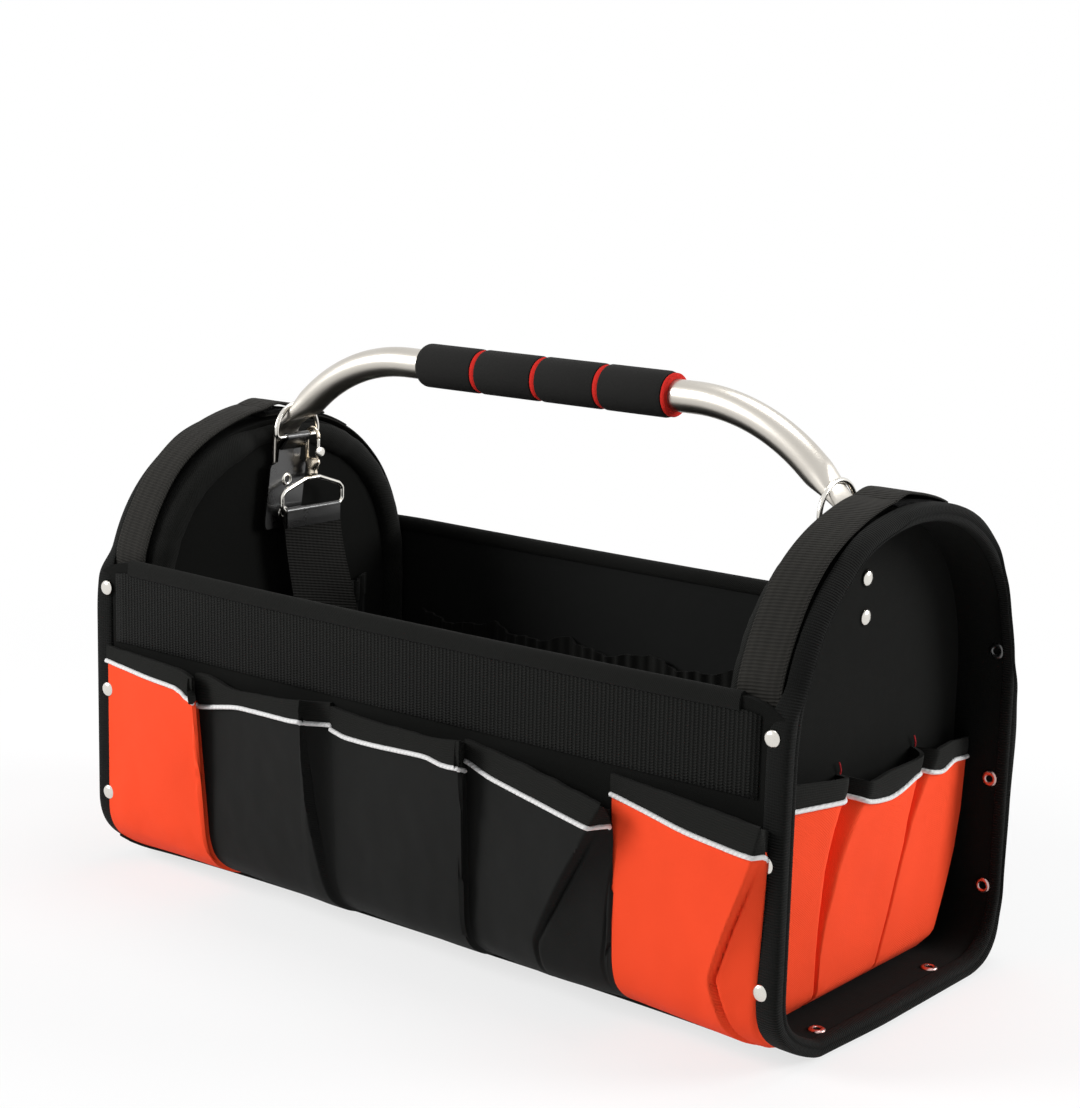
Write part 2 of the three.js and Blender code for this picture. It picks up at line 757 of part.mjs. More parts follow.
const eyeTop = baseLow - clearance;
const postTop = legBottom + clearance;
const postLow = eyeTop - eyeWire + clearance;
const post = new THREE.CylinderGeometry(swivelRadius, swivelRadius, postTop - postLow, rivetSides)
  .rotateX(90 * degree).translate(hookX, hookSide, (postTop + postLow) / 2);
const postHead = new THREE.CylinderGeometry(swivelHead, swivelHead, swivelHeadThickness, rivetSides)
  .rotateX(90 * degree).translate(hookX, hookSide, postTop + swivelHeadThickness / 2);
const eyeLine = eyeTop - eyeWire / 2;
const eyeOutline = [
  [-eyeNeck / 2, eyeLine],
  [-eyeWidth / 2, eyeLine - eyeShoulder],
  [-eyeWidth / 2, eyeLine - eyeShoulder - eyeHeight],
  [eyeWidth / 2, eyeLine - eyeShoulder - eyeHeight],
  [eyeWidth / 2, eyeLine - eyeShoulder],
  [eyeNeck / 2, eyeLine],
].map(([y, z]) => [hookSide + y, z]);
const eyeBody = solid(wireLoop(eyeOutline, eyeWire, hookX)).add(solid(post)).add(solid(postHead));
addEnds('strap_eye', geometryOf(eyeBody), steel);

// Shoulder strap: from each eye down the end, round onto the floor and along it to the slider

const strapTop = eyeLine - eyeShoulder - eyeHeight - eyeWire / 2 - clearance;
const strapFloor = wallThickness + strapFloorGap;

// The strap's outline in (x, z) from the right eye to a place on the floor, one or two layers thick.
function strapOutline(layers, stop) {
  const thick = layers * strapThickness;
  const outerX = hookX + strapThickness / 2;
  const centreX = outerX - strapFloorRadius;
  const centreZ = strapFloor + strapFloorRadius;
  return [
    [outerX - thick, strapTop],
    ...arc(centreX, centreZ, strapFloorRadius - thick, 0, -90 * degree, strapBendSteps),
    [stop, strapFloor + thick],
    [stop, strapFloor],
    ...arc(centreX, centreZ, strapFloorRadius, -90 * degree, 0, strapBendSteps),
    [outerX, strapTop],
  ];
}

const strapWest = hookSide - strapWidth / 2;
const strapEast = hookSide + strapWidth / 2;
const leftStop = -sliderPlace + sliderLength / 2 + clearance;
const rightStop = sliderPlace + sliderLength / 2 + clearance;
add('strap_left', mirrored(alongY(strapOutline(1, leftStop).reverse(), strapWest, strapEast)), blackCloth);
add('strap_right', alongY(strapOutline(2, rightStop).reverse(), strapWest, strapEast), blackCloth);
const sliderLow = wallThickness + clearance;
add('strap_slider', block(
  [sliderPlace - sliderLength / 2, strapWest - sliderMargin, sliderLow],
  [sliderPlace + sliderLength / 2, strapEast + sliderMargin, sliderLow + sliderThickness]), steel);

export default bag;
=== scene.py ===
import json
import math
import bpy
from mathutils import Matrix, Vector, noise

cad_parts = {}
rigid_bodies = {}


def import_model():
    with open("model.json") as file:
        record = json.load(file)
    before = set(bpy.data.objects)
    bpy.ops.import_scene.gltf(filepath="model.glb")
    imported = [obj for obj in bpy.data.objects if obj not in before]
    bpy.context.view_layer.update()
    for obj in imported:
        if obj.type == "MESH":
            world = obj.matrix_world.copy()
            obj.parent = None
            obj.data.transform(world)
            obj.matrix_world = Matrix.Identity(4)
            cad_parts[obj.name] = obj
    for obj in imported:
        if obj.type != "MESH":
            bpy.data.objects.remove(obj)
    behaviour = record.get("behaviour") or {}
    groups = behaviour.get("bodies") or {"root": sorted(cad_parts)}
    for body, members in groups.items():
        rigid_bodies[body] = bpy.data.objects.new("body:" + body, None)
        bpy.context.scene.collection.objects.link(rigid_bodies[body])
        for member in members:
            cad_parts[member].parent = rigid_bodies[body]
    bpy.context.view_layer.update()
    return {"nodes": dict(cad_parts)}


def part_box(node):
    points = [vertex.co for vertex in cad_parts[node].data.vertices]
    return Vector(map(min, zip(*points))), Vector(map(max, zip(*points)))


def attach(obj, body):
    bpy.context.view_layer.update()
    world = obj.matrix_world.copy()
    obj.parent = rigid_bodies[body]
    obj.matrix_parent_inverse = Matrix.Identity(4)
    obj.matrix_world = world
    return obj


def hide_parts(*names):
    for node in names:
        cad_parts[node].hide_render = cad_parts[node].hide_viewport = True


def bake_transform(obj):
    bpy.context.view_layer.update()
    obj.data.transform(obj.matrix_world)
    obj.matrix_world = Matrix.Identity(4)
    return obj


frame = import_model()
mm = 0.001
print("frame loaded,", len(frame["nodes"]), "nodes")

# sizes of the bag, read from the frame
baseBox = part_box("base")
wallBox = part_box("front_wall")
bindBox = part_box("right_edge_binding")
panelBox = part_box("right_end_panel")
bag = dict(
    halfWidth=baseBox[1].y, corner=baseBox[1].z, bodyEnd=baseBox[1].x, wallTop=wallBox[1].z,
    archTop=bindBox[1].z, panelIn=panelBox[0].x, panelOut=panelBox[1].x,
    spring=160 * mm, rimInset=4.3 * mm, rim=4 * mm, endTuck=3 * mm, backTuck=0.4 * mm, shoulder=3.2 * mm)
flatHalf = bag["halfWidth"] - bag["corner"]


# mesh helpers
def deselectAll():
    if bpy.context.mode != "OBJECT":
        bpy.ops.object.mode_set(mode="OBJECT")
    bpy.ops.object.select_all(action="DESELECT")


def pick(obj):
    deselectAll()
    obj.select_set(True)
    bpy.context.view_layer.objects.active = obj


def applyModifier(obj, kind, **settings):
    pick(obj)
    modifier = obj.modifiers.new(kind.title(), kind)
    for key, value in settings.items():
        setattr(modifier, key, value)
    bpy.ops.object.modifier_apply(modifier=modifier.name)


def weld(obj, distance=0.00001):  # merges seams and poles and turns the faces outwards
    pick(obj)
    bpy.ops.object.mode_set(mode="EDIT")
    bpy.ops.mesh.select_all(action="SELECT")
    bpy.ops.mesh.remove_doubles(threshold=distance)
    bpy.ops.mesh.normals_make_consistent(inside=False)
    bpy.ops.object.mode_set(mode="OBJECT")


def gridFrom(name, rows, uvSize, closed=False):  # a grid moved onto rows of points, its UV map in metres
    along, across = len(rows) - 1, len(rows[0]) - 1
    deselectAll()
    bpy.ops.mesh.primitive_grid_add(x_subdivisions=across, y_subdivisions=along, size=2)
    obj = bpy.context.object
    obj.name = name
    mesh = obj.data
    mesh.name = name
    places = [(round((v.co.x + 1) / 2 * across), round((v.co.y + 1) / 2 * along)) for v in mesh.vertices]
    uvMap = mesh.uv_layers.active
    for loop in mesh.loops:
        i, j = places[loop.vertex_index]
        uvMap.data[loop.index].uv = (i / across * uvSize[0], j / along * uvSize[1])
    for vertex, (i, j) in zip(mesh.vertices, places):
        vertex.co = rows[j][i]
    if closed:
        weld(obj)
    return obj


def thicken(obj, thickness, offset=-1, innerSlot=0):
    applyModifier(obj, "SOLIDIFY", thickness=thickness, offset=offset, material_offset=innerSlot)


def subdivide(obj, levels=1):
    applyModifier(obj, "SUBSURF", levels=levels, render_levels=levels)


def smoothAll(obj):
    pick(obj)
    bpy.ops.object.shade_smooth()


def smoothByAngle(obj, degrees=40):
    pick(obj)
    bpy.ops.object.shade_smooth_by_angle(angle=math.radians(degrees))


def joinTo(main, other):  # two shapes made one piece
    pick(main)
    other.select_set(True)
    bpy.ops.object.join()


def ownCopy(obj, name):
    copy = obj.copy()
    copy.data = obj.data.copy()
    copy.name = name
    copy.data.name = name
    bpy.context.scene.collection.objects.link(copy)
    return copy


def mirrorCopy(obj, name):  # the same piece at the other end
    copy = ownCopy(obj, name)
    copy.data.transform(Matrix.Scale(-1, 4, (1, 0, 0)))
    copy.data.flip_normals()
    return copy


def dress(obj, material, slotName, body="bag", stands=()):
    if material is not None:
        obj.data.materials.clear()
        obj.data.materials.append(material)
    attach(obj, body)
    if stands:
        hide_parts(*stands)
    return obj


def dressBoth(right, material, slotName, body="", node=""):  # a piece of the right end and its mirror at the left
    left = mirrorCopy(right, right.name.replace("Right", "Left"))
    for piece, side in ((right, "right_"), (left, "left_")):
        dress(piece, material, slotName, side + body if body else "bag", (side + node,) if node else ())
    return left


def evenPoints(points, count, closed=False):  # the same line in equal steps
    line = [Vector(p) for p in points]
    if closed:
        line.append(line[0].copy())
    marks = [0.0]
    for a, b in zip(line, line[1:]):
        marks.append(marks[-1] + (b - a).length)
    found, k = [], 0
    for i in range(count + 1):
        target = marks[-1] * i / count
        while k < len(line) - 2 and marks[k + 1] < target:
            k += 1
        span = max(marks[k + 1] - marks[k], 1e-9)
        found.append(line[k].lerp(line[k + 1], min(1, (target - marks[k]) / span)))
    return found


def lineLength(points):
    return sum((Vector(b) - Vector(a)).length for a, b in zip(points, points[1:]))


def smoothLine(points, count):  # a soft curve through a few points
    knots = [Vector(p) for p in points]
    knots = [knots[0] * 2 - knots[1]] + knots + [knots[-1] * 2 - knots[-2]]
    fine = []
    for a, b, c, d in zip(knots, knots[1:], knots[2:], knots[3:]):
        for step in range(12):
            t = step / 12
            fine.append(0.5 * (2 * b + (c - a) * t + (2 * a - 5 * b + 4 * c - d) * t * t
                               + (3 * b - a - 3 * c + d) * t ** 3))
    fine.append(knots[-2])
    return evenPoints(fine, count)


def wayAt(line, i, closed):  # the direction of a line at one of its points
    last = len(line) - 1
    before = line[i - 1] if i > 0 else line[last - 1 if closed else 0]
    after = line[i + 1] if i < last else line[1 if closed else last]
    return (after - before).normalized()


def normalsOf(points, closed=False):  # right-hand normals of a line in a plane
    ways = [wayAt(points, i, closed) for i in range(len(points))]
    return [Vector((way[1], -way[0])) for way in ways]


def roundTube(name, path, radius, sides=12, closed=False, square=1.0):  # a tube along a line, its open ends domed
    line = [Vector(p) for p in path]
    turns = [2 * math.pi * k / sides for k in range(sides + 1)]
    rows = []
    side = None
    for i, point in enumerate(line):
        tangent = wayAt(line, i, closed)
        if side is None:
            side = tangent.orthogonal().normalized()
        side = (side - tangent * side.dot(tangent)).normalized()
        up = tangent.cross(side)
        rows.append([point + side * (radius * math.cos(turn)) + up * (radius * square * math.sin(turn))
                     for turn in turns])
    if closed:
        rows[-1] = rows[0]
    else:
        for end, point, inward in ((0, line[0], line[1]), (-1, line[-1], line[-2])):
            out = (point - inward).normalized() * radius * 0.5
            ring = [point + out + (p - point) * 0.6 for p in rows[end]]
            pole = [point + out * 1.4 for p in rows[end]]
            if end == 0:
                rows = [pole, ring] + rows
            else:
                rows = rows + [ring, pole]
    obj = gridFrom(name, rows, (2 * math.pi * radius, lineLength(line)), closed=True)
    smoothAll(obj)
    return obj


def turned(name, profile, centre, axis, sides=40):  # a turned piece: profile of (radius, place along the axis)
    axis = Vector(axis).normalized()
    side = axis.orthogonal().normalized()
    up = axis.cross(side)
    rows = []
    for radius, along in profile:
        row = []
        for k in range(sides + 1):
            angle = 2 * math.pi * k / sides
            row.append(Vector(centre) + axis * along
                       + (side * math.cos(angle) + up * math.sin(angle)) * radius)
        rows.append(row)
    size = (2 * math.pi * max(r for r, a in profile), lineLength([(r, a, 0) for r, a in profile]))
    return gridFrom(name, rows, size, closed=True)


def blendTo(a, b, t):
    return a + (b - a) * t


def arc(centre, radius, start, end, steps):  # points round a centre in a plane, from one angle to another in degrees
    turns = [math.radians(blendTo(start, end, i / steps)) for i in range(steps + 1)]
    return [Vector((centre[0] + radius * math.cos(turn), centre[1] + radius * math.sin(turn))) for turn in turns]


def ease(t):
    t = max(0.0, min(1.0, t))
    return t * t * (3 - 2 * t)


def heightAt(points, x):  # a height read off a short list of (x, z), eased between its points
    if x <= points[0][0]:
        return points[0][1]
    for (xa, za), (xb, zb) in zip(points, points[1:]):
        if x <= xb:
            return blendTo(za, zb, ease((x - xa) / (xb - xa)))
    return points[-1][1]


def archPoint(angle, inset):  # (y, z) on the arch, angle in degrees from the front spring over the top
    turn = math.radians(angle)
    inset -= bag["shoulder"] * math.sin(2 * turn) ** 2
    rise = bag["archTop"] - bag["spring"] - inset
    return Vector((-(bag["halfWidth"] - inset) * math.cos(turn), bag["spring"] + rise * math.sin(turn)))


def archWay(angle, inset):  # the way out of the arch at one of its places
    return (archPoint(angle, inset) - archPoint(angle, inset + 4 * mm)).normalized()


def drawIn(turn):  # 0 to 1 round a lower edge, by the angle below level
    return math.sin(math.pi * max(0.0, min(1.0, (turn - 0.35) / (math.pi / 2 - 0.35))) ** 1.4)


def endOutline(inset, count):  # the closed outline of an end in (y, z), starting under the middle
    points = [Vector((0, inset))]
    for i in range(13):
        turn = math.radians(-90 + 90 * i / 12)
        radius = bag["corner"] - inset - bag["backTuck"] * drawIn(-turn)
        points.append(Vector((flatHalf + radius * math.cos(turn), bag["corner"] + radius * math.sin(turn))))
    points += [archPoint(180 - 3 * i, inset) for i in range(61)]
    for i in range(13):
        turn = math.radians(180 + 90 * i / 12)
        radius = bag["corner"] - inset - bag["endTuck"] * drawIn(turn - math.pi)
        points.append(Vector((-flatHalf + radius * math.cos(turn), bag["corner"] + radius * math.sin(turn))))
    return evenPoints(points, count, closed=True)


# shader helpers
class Shade:  # a socket that takes part in sums
    def __init__(self, tree, socket=None):
        self.tree = tree
        self.socket = socket

    def node(self, kind, settings=None, output=0, **values):  # any node: its settings first, then its sockets
        made = self.tree.nodes.new(kind)
        for key, value in (settings or {}).items():
            setattr(made, key, value)
        for key, value in values.items():
            target = made.inputs[int(key[1:])] if key[1:].isdigit() else made.inputs[key.replace("_", " ")]
            if isinstance(value, Shade):
                self.tree.links.new(value.socket, target)
            else:
                target.default_value = value
        return Shade(self.tree, made.outputs[output])

    def other(self, output):
        return Shade(self.tree, self.socket.node.outputs[output])

    def math(self, operation, first, second=0.0):
        return self.node("ShaderNodeMath", {"operation": operation}, i0=first, i1=second)

    def mix(self, factor, first, second):  # two colours
        return self.node("ShaderNodeMix", {"data_type": "RGBA"}, output=2, i0=factor, i6=first, i7=second)

    def sine(self):
        return self.math("SINE", self)

    def power(self, other):
        return self.math("POWER", self, other)

    def __add__(self, other):
        return self.math("ADD", self, other)

    def __mul__(self, other):
        return self.math("MULTIPLY", self, other)

    __radd__ = __add__
    __rmul__ = __mul__


def openMaterial(name):
    material = bpy.data.materials.new(name)
    material.use_nodes = True
    material.node_tree.nodes.clear()
    return material, Shade(material.node_tree)


def closeMaterial(start, shader):
    out = start.tree.nodes.new("ShaderNodeOutputMaterial")
    start.tree.links.new(shader.socket, out.inputs["Surface"])


def rgb(red, green, blue):
    return (red, green, blue, 1.0)


def uvAxes(start):
    uv = start.node("ShaderNodeTexCoord", output=2)
    across = start.node("ShaderNodeSeparateXYZ", i0=uv)
    return across, across.other(1)


def placeNoise(start, scale, detail=3.0, rough=0.5):
    place = start.node("ShaderNodeTexCoord", output=3)
    return start.node("ShaderNodeTexNoise", Vector=place, Scale=scale, Detail=detail, Roughness=rough)


def shownRays(start):  # what the camera sees straight, in a mirror or through glass
    path = start.node("ShaderNodeLightPath")
    return path + path.other("Is Glossy Ray") + path.other("Is Transmission Ray")


def threadRelief(start, weave, pitch):  # 0 to 1, the threads of one weave
    u, v = uvAxes(start)
    turn = 2 * math.pi / pitch
    if weave == "plain":
        return (u * turn).sine() * (v * turn).sine() * 0.5 + 0.5
    if weave == "twill":
        return ((u + v) * turn).sine() * 0.5 + 0.5
    if weave == "ribs":  # ribs that cross the tape
        return ((v * turn).sine() * 0.5 + 0.5) * 0.8 + ((u * turn * 1.7).sine() * 0.5 + 0.5) * 0.2
    if weave == "webbing":  # close cross ribs that lean a little, broken by the warp
        ribs = ((v + u * 0.22) * turn).sine() * 0.5 + 0.5
        return ribs * 0.75 + ((u * turn * 0.62).sine() * 0.5 + 0.5) * 0.25
    columns = (u * turn).sine() * 0.5 + 0.5  # a ladder: ribs up the cloth with rungs between
    rungs = (v * turn * 1.7 + (u * turn * 0.5).sine() * 1.4).sine() * 0.5 + 0.5
    return (columns * 0.55 + rungs * 0.45).power(1.8)


def clothMaterial(name, look):
    material, start = openMaterial(name)
    threads = threadRelief(start, look["weave"], look["pitch"])
    patches = placeNoise(start, 28.0)
    creases = placeNoise(start, look.get("creaseScale", 16.0), 4.0, 0.55)
    shade = threads * look["threadTone"] + patches * 0.35 + (0.65 - look["threadTone"])
    tone = start.mix(shade, look["dark"], look["light"])
    softBump = start.node("ShaderNodeBump", Strength=look.get("crease", 0.25), Distance=0.004, Height=creases)
    bump = start.node("ShaderNodeBump", Strength=look["relief"], Distance=look["pitch"] * 0.35,
                      Height=threads, Normal=softBump)
    rough = patches * 0.16 + (look["rough"] - 0.08)
    shader = start.node("ShaderNodeBsdfPrincipled", Base_Color=tone, Roughness=rough, Normal=bump,
                        Sheen_Weight=look.get("sheen", 0.015), Sheen_Roughness=0.45,
                        Specular_IOR_Level=look.get("specular", 0.12))
    closeMaterial(start, shader)
    return material


clothLooks = dict(
    bodyCloth=dict(weave="plain", pitch=1.1 * mm, dark=rgb(0.0016, 0.0017, 0.0015), light=rgb(0.0062, 0.0064, 0.0057),
                   threadTone=0.25, relief=0.35, rough=0.85, specular=0.06),
    lining=dict(weave="plain", pitch=1.0 * mm, dark=rgb(0.0028, 0.003, 0.0028), light=rgb(0.0096, 0.0101, 0.0096),
                threadTone=0.2, relief=0.25, rough=0.72, specular=0.09),
    pocketBlack=dict(weave="twill", pitch=1.2 * mm, dark=rgb(0.0042, 0.0043, 0.0041), light=rgb(0.0125, 0.0127, 0.012),
                     threadTone=0.25, relief=0.3, rough=0.8, crease=0.35, specular=0.09),
    pocketOrange=dict(weave="twill", pitch=1.2 * mm, dark=rgb(0.74, 0.048, 0.013), light=rgb(0.93, 0.078, 0.023),
                      threadTone=0.22, relief=0.3, rough=0.76, crease=0.35, specular=0.09),
    meshCloth=dict(weave="mesh", pitch=2.6 * mm, dark=rgb(0.0008, 0.0009, 0.0008), light=rgb(0.0148, 0.0151, 0.0134),
                   threadTone=0.65, relief=0.9, rough=0.7, crease=0.1, specular=0.08),
    hemTape=dict(weave="ribs", pitch=1.1 * mm, dark=rgb(0.0034, 0.0035, 0.0032), light=rgb(0.0155, 0.0157, 0.0143),
                 threadTone=0.3, relief=0.5, rough=0.86, specular=0.06),
    rimTape=dict(weave="twill", pitch=1.3 * mm, dark=rgb(0.0024, 0.0025, 0.0022), light=rgb(0.0105, 0.0107, 0.0096),
                 threadTone=0.35, relief=0.6, rough=0.82, specular=0.08),
    edgeTape=dict(weave="ribs", pitch=1.5 * mm, dark=rgb(0.0018, 0.0019, 0.0017), light=rgb(0.0096, 0.0099, 0.009),
                  threadTone=0.45, relief=0.9, rough=0.8, specular=0.08),
    webbing=dict(weave="webbing", pitch=1.8 * mm, dark=rgb(0.0034, 0.0033, 0.0029), light=rgb(0.034, 0.0322, 0.0284),
                 threadTone=0.5, relief=0.9, rough=0.8, specular=0.09),
    strapWeb=dict(weave="webbing", pitch=1.8 * mm, dark=rgb(0.0024, 0.0024, 0.0021), light=rgb(0.0165, 0.0158, 0.0142),
                  threadTone=0.5, relief=0.9, rough=0.78, specular=0.09),
    redThread=dict(weave="ribs", pitch=0.8 * mm, dark=rgb(0.3, 0.008, 0.014), light=rgb(0.55, 0.03, 0.035),
                   threadTone=0.4, relief=0.6, rough=0.7, specular=0.1),
    plush=dict(weave="plain", pitch=0.9 * mm, dark=rgb(0.002, 0.002, 0.002), light=rgb(0.007, 0.007, 0.007),
               threadTone=0.3, relief=1.0, rough=0.95, crease=1.0, creaseScale=420.0, sheen=0.06, specular=0.05))
cloth = {name: clothMaterial(name, look) for name, look in clothLooks.items()}


def pipingMaterial(name):
    material, start = openMaterial(name)
    u, v = uvAxes(start)
    twist = ((v * 2200.0 + u * 1400.0).sine() * 0.5 + 0.5)
    dust = placeNoise(start, 60.0)
    tone = start.mix(twist * 0.25 + dust * 0.3, rgb(0.78, 0.77, 0.76), rgb(0.55, 0.55, 0.55))
    bump = start.node("ShaderNodeBump", Strength=0.5, Distance=0.0004, Height=twist)
    closeMaterial(start, start.node("ShaderNodeBsdfPrincipled", Base_Color=tone, Roughness=dust * 0.2 + 0.55,
                                    Normal=bump))
    return material


def metalMaterial(name, bright, dim, rough, scratch=0.06):
    material, start = openMaterial(name)
    grain = placeNoise(start, 900.0, 2.0)
    smudge = placeNoise(start, 45.0)
    tone = start.mix(smudge * 0.6 + grain * 0.15, bright, dim)
    bump = start.node("ShaderNodeBump", Strength=scratch, Distance=0.0002, Height=grain)
    closeMaterial(start, start.node("ShaderNodeBsdfPrincipled", Base_Color=tone, Metallic=1.0,
                                    Roughness=smudge * 0.14 + (rough - 0.05), Normal=bump))
    return material


def foamMaterial(name, dark, light):
    material, start = openMaterial(name)
    pores = placeNoise(start, 1400.0, 2.0)
    patches = placeNoise(start, 40.0)
    tone = start.mix(pores * 0.5 + patches * 0.3, dark, light)
    bump = start.node("ShaderNodeBump", Strength=0.45, Distance=0.0006, Height=pores)
    closeMaterial(start, start.node("ShaderNodeBsdfPrincipled", Base_Color=tone, Roughness=patches * 0.1 + 0.82,
                                    Normal=bump, Specular_IOR_Level=0.15))
    return material


def leatherMaterial(name):
    material, start = openMaterial(name)
    place = start.node("ShaderNodeTexCoord", output=3)
    grain = start.node("ShaderNodeTexVoronoi", Vector=place, Scale=1300.0)
    wear = placeNoise(start, 70.0)
    tone = start.mix(grain * 0.4 + wear * 0.4, rgb(0.003, 0.003, 0.003), rgb(0.009, 0.0085, 0.008))
    bump = start.node("ShaderNodeBump", Strength=0.22, Distance=0.0003, Height=grain)
    closeMaterial(start, start.node("ShaderNodeBsdfPrincipled", Base_Color=tone, Roughness=wear * 0.2 + 0.2,
                                    Normal=bump, Coat_Weight=0.9, Coat_Roughness=0.14))
    return material


piping = pipingMaterial("whitePiping")
steel = metalMaterial("polishedTube", rgb(0.63, 0.6, 0.55), rgb(0.43, 0.4, 0.35), 0.3, 0.02)
nickel = metalMaterial("nickel", rgb(0.8, 0.78, 0.73), rgb(0.56, 0.53, 0.48), 0.18)
brassy = metalMaterial("wornNickel", rgb(0.85, 0.78, 0.66), rgb(0.62, 0.5, 0.36), 0.24)
foam = foamMaterial("gripFoam", rgb(0.0065, 0.0064, 0.006), rgb(0.0185, 0.018, 0.0168))
gunmetal = metalMaterial("gunmetal", rgb(0.16, 0.16, 0.16), rgb(0.06, 0.06, 0.06), 0.3)
redMetal = metalMaterial("reddishMetal", rgb(0.6, 0.42, 0.4), rgb(0.4, 0.22, 0.2), 0.26)
redFoam = foamMaterial("redBand", rgb(0.45, 0.012, 0.008), rgb(0.75, 0.03, 0.02))
leather = leatherMaterial("glossyLeather")
print("materials made")


def sweep(name, sections, uvSize, ring=False):  # closed sections carried along a line, with closed ends
    rows = [list(section) + [section[0]] for section in sections]
    if ring:
        rows.append(rows[0])
    else:
        for end in (0, -1):
            middle = sum(sections[end], Vector((0, 0, 0))) / len(sections[end])
            pole = [middle] * len(rows[0])
            rows = [pole] + rows if end == 0 else rows + [pole]
    return gridFrom(name, rows, uvSize, closed=True)


def wobble(x, y, z, scale=20.0):
    return noise.noise(Vector((x * scale, y * scale, z * scale)))


# camera at the photograph's place
view = dict(lens=74.25, azimuth=38.556, pitch=11.212, roll=1.506, place=(0.810538, -1.017029, 0.471888),
            sensor=36, far=30)
turnA, turnE, turnR = (math.radians(view[k]) for k in ("azimuth", "pitch", "roll"))
backWay = Vector((math.sin(turnA) * math.cos(turnE), -math.cos(turnA) * math.cos(turnE), math.sin(turnE)))
sideWay = Vector((math.cos(turnA), math.sin(turnA), 0))
upWay = backWay.cross(sideWay)
rightWay = sideWay * math.cos(turnR) + upWay * math.sin(turnR)
topWay = upWay * math.cos(turnR) - sideWay * math.sin(turnR)
cameraData = bpy.data.cameras.new("camera")
cameraData.lens = view["lens"]
cameraData.sensor_width = view["sensor"]
cameraData.clip_end = view["far"]
camera = bpy.data.objects.new("camera", cameraData)
bpy.context.scene.collection.objects.link(camera)
camera.matrix_world = Matrix.Translation(view["place"]) @ Matrix((rightWay, topWay, backWay)).transposed().to_4x4()
bpy.context.scene.camera = camera
print("camera placed")

# shoulder strap: down each end inside the bag, round onto the floor and along it to the slider
strap = dict(layer=2.2 * mm, slim=0.96, width=50 * mm, bend=60 * mm, floor=4.5 * mm, top=212.6 * mm, steps=34,
             side=13.4 * mm, drift=15 * mm, driftOver=0.3, backFrom=0.42, backOver=0.45, twist=7 * mm, face=198.5 * mm,
             leftEnd=-43.3 * mm, rightEnd=-16.7 * mm, eyeX=197.4 * mm, stillTo=70 * mm, swingFrom=200 * mm)


def strapRoute(depth, farEnd):  # (x, z) of a line inside the outer face, for the right end
    centre = (strap["face"] - strap["bend"], strap["floor"] + strap["bend"])
    low = strap["floor"] + depth
    points = [Vector((strap["face"] - depth, strap["top"] - i * 12 * mm)) for i in range(13)]
    points = [p for p in points if p.y > centre[1] + 2 * mm]
    points += arc(centre, strap["bend"] - depth, 0, -90, 12)
    points += [Vector((blendTo(centre[0], farEnd, 0.5), low)), Vector((farEnd, low))]
    return evenPoints(points, strap["steps"])


def strapDrift(share):  # the strap hangs a little aside between the eye and the floor
    return ease(share / strap["driftOver"]) * (1 - ease((share - strap["backFrom"]) / strap["backOver"]))


def strapLayer(name, depth, farEnd):  # one band of webbing with soft edges
    route = strapRoute(depth, farEnd)
    half, thick = strap["width"] / 2, strap["layer"] / 2 * strap["slim"]
    sections = []
    for i, (point, normal) in enumerate(zip(route, normalsOf(route))):
        drift = strapDrift(i / strap["steps"])
        section = []
        for y, off in ((-1, -0.5), (-0.5, -1), (0, -1), (0.5, -1), (1, -0.5),
                       (1, 0.5), (0.5, 1), (0, 1), (-0.5, 1), (-1, 0.5)):
            place = point + normal * (off * thick)
            twist = strap["twist"] * drift * max(0.0, y) * max(0.0, -normal.x)
            section.append(Vector((place.x - twist, strap["side"] + strap["drift"] * drift + y * half, place.y)))
        sections.append(section)
    return sweep(name, sections, (2 * strap["width"], lineLength(route)))


strapRight = strapLayer("shoulderStrapRight", strap["layer"] / 2, strap["rightEnd"])
joinTo(strapRight, strapLayer("strapSecond", strap["layer"] * 1.5, strap["rightEnd"]))
strapMould = strapLayer("strapMould", strap["layer"] / 2, -strap["leftEnd"])
strapLeft = mirrorCopy(strapMould, "shoulderStrapLeft")
bpy.data.objects.remove(strapMould)
for obj in (strapLeft, strapRight):
    smoothByAngle(obj, 60)
    obj.data.materials.append(cloth["strapWeb"])
slider = dict(wire=2.4 * mm, corner=6 * mm, high=8.9 * mm, bar=2 * mm, barDrop=0.6 * mm, arch=4.6 * mm, web=5.7 * mm,
              webOver=0.6 * mm, webLength=30 * mm)
low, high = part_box("strap_slider")
centre = (low + high) / 2
halfX, halfY = (high.x - low.x) / 2 - slider["wire"], (high.y - low.y) / 2 - slider["wire"]
outline = []
for k, (signX, signY) in enumerate(((1, 1), (-1, 1), (-1, -1), (1, -1))):
    bend = (centre.x + signX * (halfX - slider["corner"]), centre.y + signY * (halfY - slider["corner"]))
    outline += [(p.x, p.y, slider["high"]) for p in arc(bend, slider["corner"], 90 * k, 90 * k + 90, 7)]
sliderFrame = roundTube("sliderFrame", outline + outline[:1], slider["wire"], 14, closed=True, square=0.85)
barLine = [(centre.x, blendTo(centre.y - halfY, centre.y + halfY, i / 6), slider["high"] - slider["barDrop"])
           for i in range(7)]
joinTo(sliderFrame, roundTube("sliderBar", barLine, slider["bar"], 12))
dress(sliderFrame, nickel, "steel", stands=("strap_slider",))
sections = []
